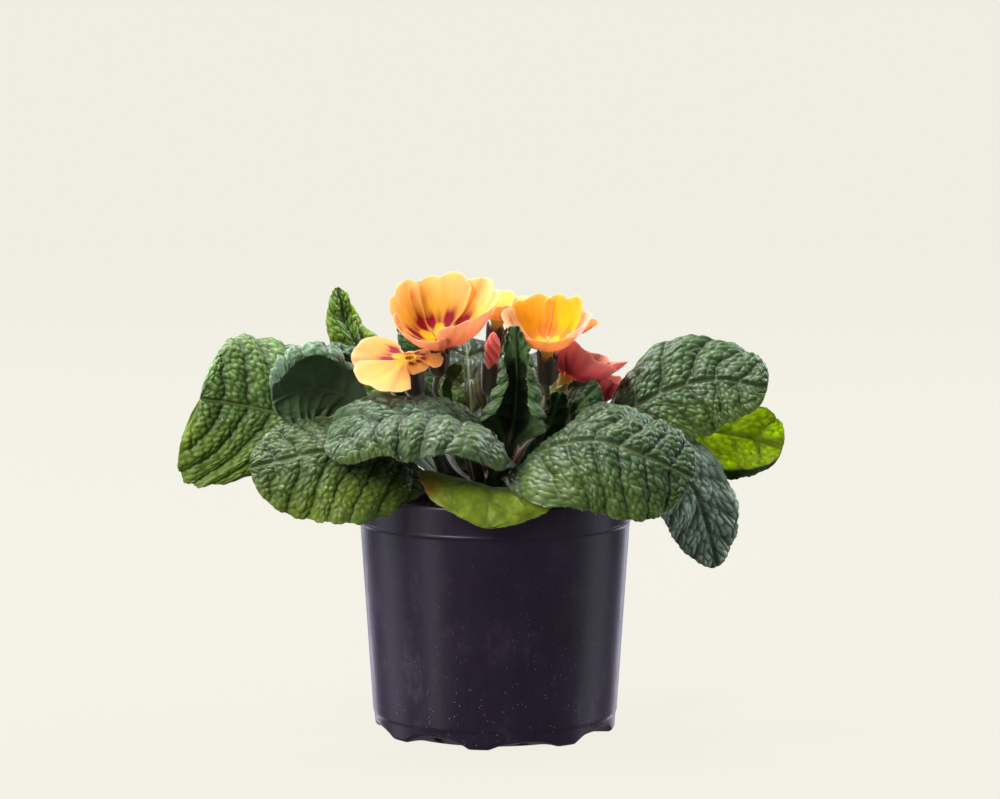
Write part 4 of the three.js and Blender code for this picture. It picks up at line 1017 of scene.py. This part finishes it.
def corolla(name, flower, seed):
    """Five petals, the tube below them, and five anthers round the stigma in its mouth."""
    pose = Pose(flower)
    sheets = Sheets()
    grid = NEAR_PETAL_GRID if flower.centre[1] < 10 else FAR_PETAL_GRID
    for order in range(PETALS):
        upper, lower, *rest = petal(flower, order, seed + order * 7, *grid)
        # turned about, so that the upper face looks along the axis
        sheets.grid(*(part[:, ::-1] for part in (pose.set(upper), pose.set(lower), *rest)))
    profile = np.array([
        (1.9, -TUBE_LENGTH), (TUBE_RADIUS, -TUBE_LENGTH + 0.6), (TUBE_RADIUS, -5), (2.15, -3), (2.5, -1.2),
        (3.1, -0.35), (2.5, 0.2), (1.75, -0.1), (1.45, -1.2), (1.3, -5), (1.2, -6)])
    first_inside = 6
    rings = lathe(profile, 40) * np.array([1, -1, 1])
    rings = rings[:, ::-1]
    colour = blended(TUBE_INSIDE, linear(flower.look["eye"]), smooth((rings[..., 2] + 1.2) / 1.4))
    colour[:first_inside] = TUBE_OUTSIDE
    sheets.tube(pose.set(rings), colour)
    heights = np.linspace(-2.6, -0.3, 6)[:, None]
    fat = 0.34 * np.sin(math.pi * np.linspace(0.08, 0.95, 6)[:, None]) ** 0.6
    for k in range(PETALS):
        middle = k * TAU / PETALS + 0.3
        shift = np.array([math.sin(middle), math.cos(middle), 0]) * 0.95
        sheets.tube(pose.set(ringed(around(8), fat, heights) + shift), ANTHER)
    t = np.linspace(0.12, math.pi - 0.12, 8)[:, None]
    sheets.tube(pose.set(ringed(around(10), 0.42 * np.sin(t), -1.1 - 0.35 * np.cos(t))), STIGMA)
    sheets.build(name + "_corolla", PETAL)


def bud_corolla(name, flower, seed):
    """Five petals rolled round each other into a pointed bud, their edges showing as spiral pleats."""
    t = np.linspace(0, 1, 60)[:, None]
    z = -TUBE_LENGTH + t * (TUBE_LENGTH + 9)
    radius = np.interp(z, [-TUBE_LENGTH, -2, 0, 2, 4.5, 6.5, 8.2, 9],
                       [2.0, 2.1, 2.7, 3.0, 2.75, 2.0, 1.0, 0.12])
    angles = around(80)
    turn = PETALS * (angles + 0.11 * BUD_TWIST * 8 * np.maximum(0, z + 2)) / TAU
    saw = turn - np.floor(turn)
    radius = radius * (1 + (0.16 * saw - 0.06) * smooth((z + 4) / 4))
    flows = np.stack([turn * 2, np.broadcast_to(t * 2, turn.shape), np.full_like(turn, seed)], -1)
    sheets = Sheets()
    colour = blended(BUD_PALE, BUD_CORAL, smooth(saw * 1.2))
    sheets.tube(Pose(flower).set(ringed(angles, radius, z)), colour, flows)
    sheets.build(name + "_corolla", PETAL)


def body_hairs(sheets, pose, rings, world, rows, count, rng):
    """Short hairs over some rows of a calyx or a bud."""
    picks = rng.integers(*rows, count)
    lanes = rng.integers(0, rings.shape[1], count)
    lean = unit(rings[picks, lanes] * LEVEL) + rng.normal(0, 0.25, (count, 3))
    sheets.hairs(world[picks, lanes], lean @ pose.plain.T, rng.uniform(*BODY_HAIR_LENGTHS, count),
                 HAIR_RADIUS, CALYX_HAIR)


def green_stalk(sheets, pose, rng):
    """A round hairy stalk from the rootstock to the foot of the calyx."""
    root = pose.flower.root
    start = on_crown(root, FLOWER_STALK_SEAT)
    lean = unit(outward(math.radians(root[0])) * FLOWER_STALK_LEAN + UP)
    reach = np.linalg.norm(pose.end - start)
    spine = Spine([start, start + lean * reach * 0.3, *pose.flower.via,
                   pose.end - pose.axis * reach * 0.22, pose.end])
    count = max(12, int(spine.length / 1.6))
    shares = np.linspace(0, 1, count)
    radii = FLOWER_STALK_RADIUS * (1.05 - 0.1 * np.sin(shares * math.pi))
    radii = radii + 0.1 * smooth((shares - 0.93) / 0.07)
    centres, ahead = spine.at(shares), spine.ahead(shares)
    side = unit(np.cross(ahead[0], outward(0.3)))
    rings = []
    for centre, way, radius in zip(centres, ahead, radii):
        # each ring starts where the last one did, so that the tube isn't wrung
        side = unit(side - way * (side @ way))
        other = np.cross(way, side)
        rings.append([centre + radius * (math.cos(a) * side + math.sin(a) * other)
                      for a in around(FLOWER_STALK_SIDES)])
    rings = np.array(rings)
    colour = blended(STALK_LOW, STALK_HIGH, smooth(shares * 1.1))
    sheets.tube(rings, colour[:, None])
    picks = rng.integers(1, count, STALK_HAIRS)
    lanes = rng.integers(0, FLOWER_STALK_SIDES, STALK_HAIRS)
    roots = rings[picks, lanes]
    lean = unit(roots - centres[picks]) + rng.normal(0, 0.25, (STALK_HAIRS, 3))
    sheets.hairs(roots, lean, rng.uniform(*STALK_HAIR_LENGTHS, STALK_HAIRS), HAIR_RADIUS, STALK_HAIR)


def calyx(sheets, pose, rng):
    """The calyx up its outside and down its inside, with five ribs and five pointed teeth."""
    base = -TUBE_LENGTH - CLEARANCE
    top = base + CALYX_LENGTH - 1
    angles = around(80)
    rib = np.cos(PETALS * angles)
    outside = [(0.5, base - 3), (1.5, base - 2.5), (2.6, base - 1.6), (3.4, base - 0.3), (3.75, base + 1.2),
               (3.9, base + 3), (3.95, base + 5), (3.95, base + 7), (4.05, base + 8.6), (4.2, top)]
    inside = [(3.85, top - 0.1), (3.45, top - 1.6), (3.05, base + 6), (2.75, base + 3), (2.6, base + 0.05)]
    rings = []
    for k, (r, z) in enumerate(outside + inside):
        pleat = 1 + CALYX_RIBBING * np.abs(rib) ** 0.7 * np.sign(rib) * min(1, max(0, (z - base + 2) / 4))
        share = smooth((z - base) / (CALYX_LENGTH - 2)) * (1 if k <= len(outside) else 0.6)
        lift = CALYX_TEETH * (1 - 2 * np.abs(((angles / TAU * PETALS + 0.5) % 1) * 2 - 1)) * share
        rings.append(np.stack([np.cos(angles) * r * pleat, np.sin(angles) * r * pleat, z + lift], -1))
    rings = np.array(rings)
    green, pale = map(linear, pose.flower.calyx)
    colour = blended(pale, green, np.broadcast_to(smooth((rib + 0.4) / 0.9), rings.shape[:2]))
    colour = blended(colour, CALYX_TIP, smooth((rings[..., 2] - rings[..., 2].max() + 2.5) / 3) * 0.35)
    world = pose.set(rings, spun=False)
    sheets.tube(world, colour)
    body_hairs(sheets, pose, rings, world, (1, len(outside)), CALYX_HAIRS, rng)


def green_bud(sheets, pose, rng):
    """A closed bud with five soft ridges."""
    base = -TUBE_LENGTH
    z = np.linspace(base - 3.5, base + 12, 34)[:, None]
    radius = np.interp(z - base, [-3.5, -2.9, -2, 2, 6, 9, 11, 12],
                       [0.3, 1.5, 2.2, 2.95, 2.75, 1.7, 0.7, 0.1])
    angles = around(60)
    ridges = np.cos(TAU * (PETALS * (angles + BUD_TWIST * 0.2 * (z - base)) / TAU))
    rings = ringed(angles, radius * (1 + BUD_RIDGES * ridges), z)
    world = pose.set(rings, spun=False)
    sheets.tube(world, blended(BUD_FURROW, BUD_RIDGE, smooth(ridges * 0.6 + 0.5)))
    body_hairs(sheets, pose, rings, world, (3, len(z) - 3), BUD_HAIRS, rng)


def make_stalk(node, flower, head, rng):
    """A stalk with its calyx or green bud, grown as one."""
    sheets = Sheets()
    pose = Pose(flower)
    green_stalk(sheets, pose, rng)
    head(sheets, pose, rng)
    sheets.build(node, STALK)


def whole(shape):
    return SimpleNamespace(**{**FLOWER_DEFAULTS, **shape})


for number, (name, shape) in enumerate(FLOWERS.items()):
    seed = 1000 + 50 * number
    flower = whole(shape)
    (bud_corolla if flower.folded else corolla)(name, flower, seed)
    make_stalk(name + "_stalk", flower, calyx, np.random.default_rng(seed))

for number, (name, shape) in enumerate(GREEN_BUDS.items()):
    make_stalk(name, whole(shape), green_bud, np.random.default_rng(2000 + number))


# ---------------------------------------------------------------- pot, soil, rootstock

POT_TINT = linear((40, 34, 48))
PEAT = linear((46, 34, 26))
PERLITE = linear((196, 190, 176))
CROWN_FURROW = linear((66, 48, 30))
CROWN_SCALE = linear((132, 108, 70))


def arch_lift(azimuth):
    """How far the pot's foot is raised between its feet, by turns low and high."""
    turns = (np.degrees(azimuth) - FOOT_AZIMUTH) * FEET / 360
    bay = np.floor(turns)
    across = np.minimum(1, np.abs(2 * (turns - bay) - 1) / ARCH_SHARE)
    return np.where(bay % 2 == 0, LOW_ARCH, HIGH_ARCH) * (1 - across ** 2.5)


def rounded_profile(corners, radius=0.5, spacing=3.6, steps=4):
    """A profile with its corners rounded and its long runs divided."""
    corners = [np.array(c, float) for c in corners]
    out = [corners[0]]
    for before, corner, after in zip(corners, corners[1:], corners[2:]):
        reach_in, reach_out = np.linalg.norm(corner - before), np.linalg.norm(after - corner)
        cut = min(radius, 0.45 * reach_in, 0.45 * reach_out)
        start = corner + (before - corner) / reach_in * cut
        stop = corner + (after - corner) / reach_out * cut
        for w in np.arange(steps + 1) / steps:
            out.append((1 - w) ** 2 * start + 2 * w * (1 - w) * corner + w * w * stop)
    out.append(corners[-1])
    dense = [out[0]]
    for start, stop in zip(out, out[1:]):
        parts = max(1, int(np.linalg.norm(stop - start) / spacing))
        dense += [start + (stop - start) * k / parts for k in range(1, parts + 1)]
    return np.array(dense)


def drill_drains(piece):
    """Cuts a drain hole between every two feet."""
    drills = []
    for k in range(FEET):
        place = outward(math.radians(FOOT_AZIMUTH + (k + 0.5) * 360 / FEET)) * DRAIN_DISTANCE * MM
        bpy.ops.mesh.primitive_cylinder_add(vertices=24, radius=DRAIN_RADIUS * MM, depth=DRILL_LENGTH * MM,
                                            location=place)
        drills.append(bpy.context.object)
    bpy.ops.object.select_all(action="DESELECT")
    for drill in drills:
        drill.select_set(True)
    bpy.context.view_layer.objects.active = drills[0]
    bpy.ops.object.join()
    tool = bpy.context.object
    modifier = piece.modifiers.new("drains", "BOOLEAN")
    modifier.operation = "DIFFERENCE"
    modifier.object = tool
    modifier.solver = "EXACT"
    bpy.context.view_layer.objects.active = piece
    bpy.ops.object.modifier_apply(modifier=modifier.name)
    bpy.data.objects.remove(tool)


def make_pot():
    """The thin-walled pot: its outside from the base up, the rim, and its inside down to the base."""
    outside = [
        (1, 0), (FLAT_BASE_RADIUS, 0), (FOOT_RADIUS - 1.2, 0), (FOOT_RADIUS, 1),
        (FOOT_RADIUS + 0.3, FOOT_HEIGHT - 1.3), (WALL_FOOT_RADIUS, FOOT_HEIGHT),
        (WALL_TOP_RADIUS, RIDGE_HEIGHT - 1), (RIDGE_RADIUS, RIDGE_HEIGHT),
        (RIDGE_RADIUS - 0.3, RIDGE_HEIGHT + 1), (RIM_RADIUS, POT_HEIGHT - 1), (RIM_RADIUS - 0.5, POT_HEIGHT)]
    inside = [
        (RIM_RADIUS - WALL - 0.2, POT_HEIGHT - 0.2), (WALL_TOP_RADIUS - WALL, RIDGE_HEIGHT),
        (WALL_FOOT_RADIUS - WALL, FOOT_HEIGHT), (FOOT_RADIUS - WALL - 0.6, WALL + 0.5),
        (FLAT_BASE_RADIUS, WALL), (1, WALL)]
    rings = lathe(rounded_profile(outside + inside), POT_SIDES)
    x, y, z = np.moveaxis(rings, -1, 0)
    ground = smooth((np.hypot(x, y) - FLAT_BASE_RADIUS) / 7)
    fade = 1 - np.clip((z - 1.7) / (FOOT_HEIGHT - 3), 0, 1)
    rings[..., 2] += arch_lift(np.arctan2(x, -y)) * ground * fade
    sheets = Sheets()
    sheets.tube(rings, POT_TINT)
    drill_drains(sheets.build("pot", POT))


def soil_wave(x, y):
    """How far the low waves of the soil lift it at a place."""
    return SOIL_WAVE * (np.sin(x * 0.31 + 1) * np.cos(y * 0.27) + np.sin(x * 0.13 - y * 0.19))


def make_soil():
    """Crumbly peat: lumps over the surface of the solid, with loose crumbs and flecks of perlite on it."""
    radii = [SOIL_HOLE_RADIUS, 14.2, *np.linspace(15, SOIL_RADIUS, SOIL_RINGS)]
    rings = lathe(np.array([(r, SOIL_TOP) for r in radii]), SOIL_SIDES)
    x, y = rings[..., 0], rings[..., 1]
    grains = 0.9 * noise(7, x / 2.6, y / 2.6) + 0.5 * noise(8, x / 1.2, y / 1.2)
    rings[..., 2] = SOIL_TOP + soil_wave(x, y) + grains * 0.7
    colour = PEAT * (1 + 0.5 * noise(9, x / 1.7, y / 1.7))[..., None]
    # the inner and the outer ring again, lower down, as the soil's walls
    with_walls = [0, *range(len(radii)), -1]
    rings, colour = rings[with_walls], colour[with_walls]
    rings[[0, -1], :, 2] = SOIL_TOP - SOIL_DEPTH
    sheets = Sheets()
    sheets.tube(rings[::-1], colour[::-1])
    rng = np.random.default_rng(11)
    t = np.linspace(0.15, math.pi - 0.15, 5)[:, None]
    ball = ringed(around(6), np.sin(t), -0.8 * np.cos(t))
    for _ in range(CRUMBS):
        r, a = math.sqrt(rng.uniform(CRUMBS_FROM ** 2, CRUMBS_TO ** 2)), rng.uniform(0, TAU)
        size = rng.uniform(*CRUMB_SIZES)
        x, y = math.sin(a) * r, -math.cos(a) * r
        lump = ball * (1 + 0.3 * rng.uniform(-1, 1, ball.shape[:2]))[..., None]
        perlite = rng.uniform() < PERLITE_SHARE
        colour = PERLITE if perlite else PEAT * rng.uniform(0.7, 2.0)
        sheets.tube(np.array([x, y, SOIL_TOP + soil_wave(x, y) + size * 0.35]) + lump * size, colour)
    sheets.build("soil", EARTH)


def make_crown():
    """The rootstock, with the scars of old leaves in staggered rows."""
    corners = [(0.6, 63.2), *CROWN_PROFILE[1:-1], (0.6, 99.6)]
    rings = lathe(rounded_profile(corners, radius=1.5, spacing=0.8), CROWN_SIDES)
    x, y, z = np.moveaxis(rings, -1, 0)
    angle = np.arctan2(x, -y)
    row = z / SCAR_HEIGHT
    turns = (angle + math.pi) / TAU
    border = cellular(21, row, turns * SCARS_AROUND + 0.5 * np.floor(row), SCAR_HEIGHT, 3.4)[0]
    scale = 1 - bell(border, 0.5)
    swell = (0.5 * scale - 0.45) * smooth(np.hypot(x, y) / 3)
    rings = rings + np.stack([np.sin(angle), -np.cos(angle), np.zeros_like(angle)], -1) * swell[..., None]
    sheets = Sheets()
    sheets.tube(rings, blended(CROWN_FURROW, CROWN_SCALE, scale))
    sheets.build("crown", EARTH)


make_pot()
make_soil()
make_crown()


# ---------------------------------------------------------------- studio

def stage_material():
    """Paper that mostly glows by itself, so that no light spoils its even colour."""
    n = Nodes("studio_paper")
    fibres = n.times(n.noise(n.place, 300, 2), 0.05)
    paper = n.mix(fibres, linear((243, 240, 230)), linear((236, 233, 222)))
    lit = n.node("Emission", linear((241, 238, 227)), 1.0).outputs[0]
    return n.surface(n.layered(0.015, lit, n.node("BsdfDiffuse", paper).outputs[0]))


def studio_bowl():
    """A round pale floor that curves up into a backdrop on every side, seen by the camera alone."""
    bend, floor, high, sides = 1.0, 2.2, 3.2, 72
    curve = [(floor + bend * math.sin(t), bend - bend * math.cos(t))
             for t in np.linspace(0.1, math.pi / 2, 12)]
    line = [(0.02, 0.0), (0.4, 0.0), (floor, 0.0), *curve, (floor + bend, high)]
    points = [(r * math.cos(a), r * math.sin(a), z) for r, z in line for a in around(sides)]
    number = np.arange(len(points)).reshape(-1, sides)
    turned = np.roll(number, -1, 1)
    quads = faces(number[:-1], turned[:-1], turned[1:], number[1:]).tolist()
    mesh = bpy.data.meshes.new("studio_floor")
    mesh.from_pydata(points, [], [*quads, range(sides)])
    mesh.polygons.foreach_set("use_smooth", [True] * len(mesh.polygons))
    mesh.materials.append(stage_material())
    bowl = bpy.data.objects.new("studio_floor", mesh)
    for ray in ("glossy", "diffuse", "transmission", "shadow"):
        setattr(bowl, "visible_" + ray, False)
    bpy.context.scene.collection.objects.link(bowl)


# Each light: place, the height on the pot's axis that it looks at, size, power, colour, and whether
# glossy surfaces show it
LIGHTS = {
    "back_left": ((-1.0, 0.9, 0.8), 0.12, (0.8, 1.0), 30, (0.93, 0.96, 1.0), True),
    "back_right": ((1.05, 0.85, 0.75), 0.12, (0.7, 1.0), 27, (0.93, 0.95, 1.0), True),
    "edge_left": ((-0.56, 1.2, 0.0), 0.05, (0.25, 1.2), 2.6, (0.8, 0.8, 1.0), True),
    "edge_right": ((0.56, 1.2, 0.0), 0.05, (0.25, 1.2), 2.6, (0.8, 0.8, 1.0), True),
    "side_left": ((-1.25, -0.3, 0.1), 0.08, (0.9, 1.2), 7.5, (0.95, 0.96, 1.0), False),
    "side_right": ((1.25, -0.2, 0.1), 0.08, (0.9, 1.2), 7.5, (0.94, 0.95, 1.0), False),
    "shoulder_left": ((-1.15, 0.3, 0.0), 0.05, (0.5, 1.2), 1.6, (0.84, 0.88, 1.0), True),
    "shoulder_right": ((1.15, 0.2, 0.0), 0.05, (0.5, 1.2), 1.4, (0.84, 0.88, 1.0), True),
    "strip_left": ((-1.02, -0.66, 0.0), 0.05, (0.14, 1.3), 1.4, (1.0, 0.98, 0.95), True),
    "front_left": ((-0.8, -1.0, 0.85), 0.09, (0.3, 0.6), 18, (1.0, 0.98, 0.93), True),
    "above": ((-0.25, 0.15, 1.3), 0.1, (0.35, 0.35), 26, (1.0, 1.0, 1.0), True),
}
WORLD_COLOUR = (0.98, 0.98, 1.0, 1)
WORLD_LIGHT = 0.17
CAMERA_PLACE = (0.0019, -1.5, 0.307)
CAMERA_TARGET = (0.0019, 0, 0.126)
LENS = 143.6
SENSOR_WIDTH = 36


def looking_at(place, target):
    return (Vector(target) - Vector(place)).to_track_quat("-Z", "Y").to_euler()


def area_light(name, place, aim, size, power, colour, shine):
    light = bpy.data.lights.new(name, "AREA")
    light.shape = "RECTANGLE"
    light.size, light.size_y = size
    light.energy = power
    light.color = colour
    lamp = bpy.data.objects.new(name, light)
    lamp.location = place
    lamp.rotation_euler = looking_at(place, (0, 0, aim))
    lamp.visible_glossy = shine
    bpy.context.scene.collection.objects.link(lamp)


studio_bowl()
for name, light in LIGHTS.items():
    area_light(name, *light)

world = bpy.data.worlds.new("studio_light")
world.use_nodes = True
background = world.node_tree.nodes["Background"]
background.inputs[0].default_value = WORLD_COLOUR
background.inputs[1].default_value = WORLD_LIGHT
bpy.context.scene.world = world
bpy.context.scene.view_settings.view_transform = "Standard"

camera_data = bpy.data.cameras.new("camera")
camera_data.sensor_width = SENSOR_WIDTH
camera_data.lens = LENS
camera_data.clip_end = 50
camera = bpy.data.objects.new("camera", camera_data)
camera.location = CAMERA_PLACE
camera.rotation_euler = looking_at(CAMERA_PLACE, CAMERA_TARGET)
bpy.context.scene.collection.objects.link(camera)
bpy.context.scene.camera = camera
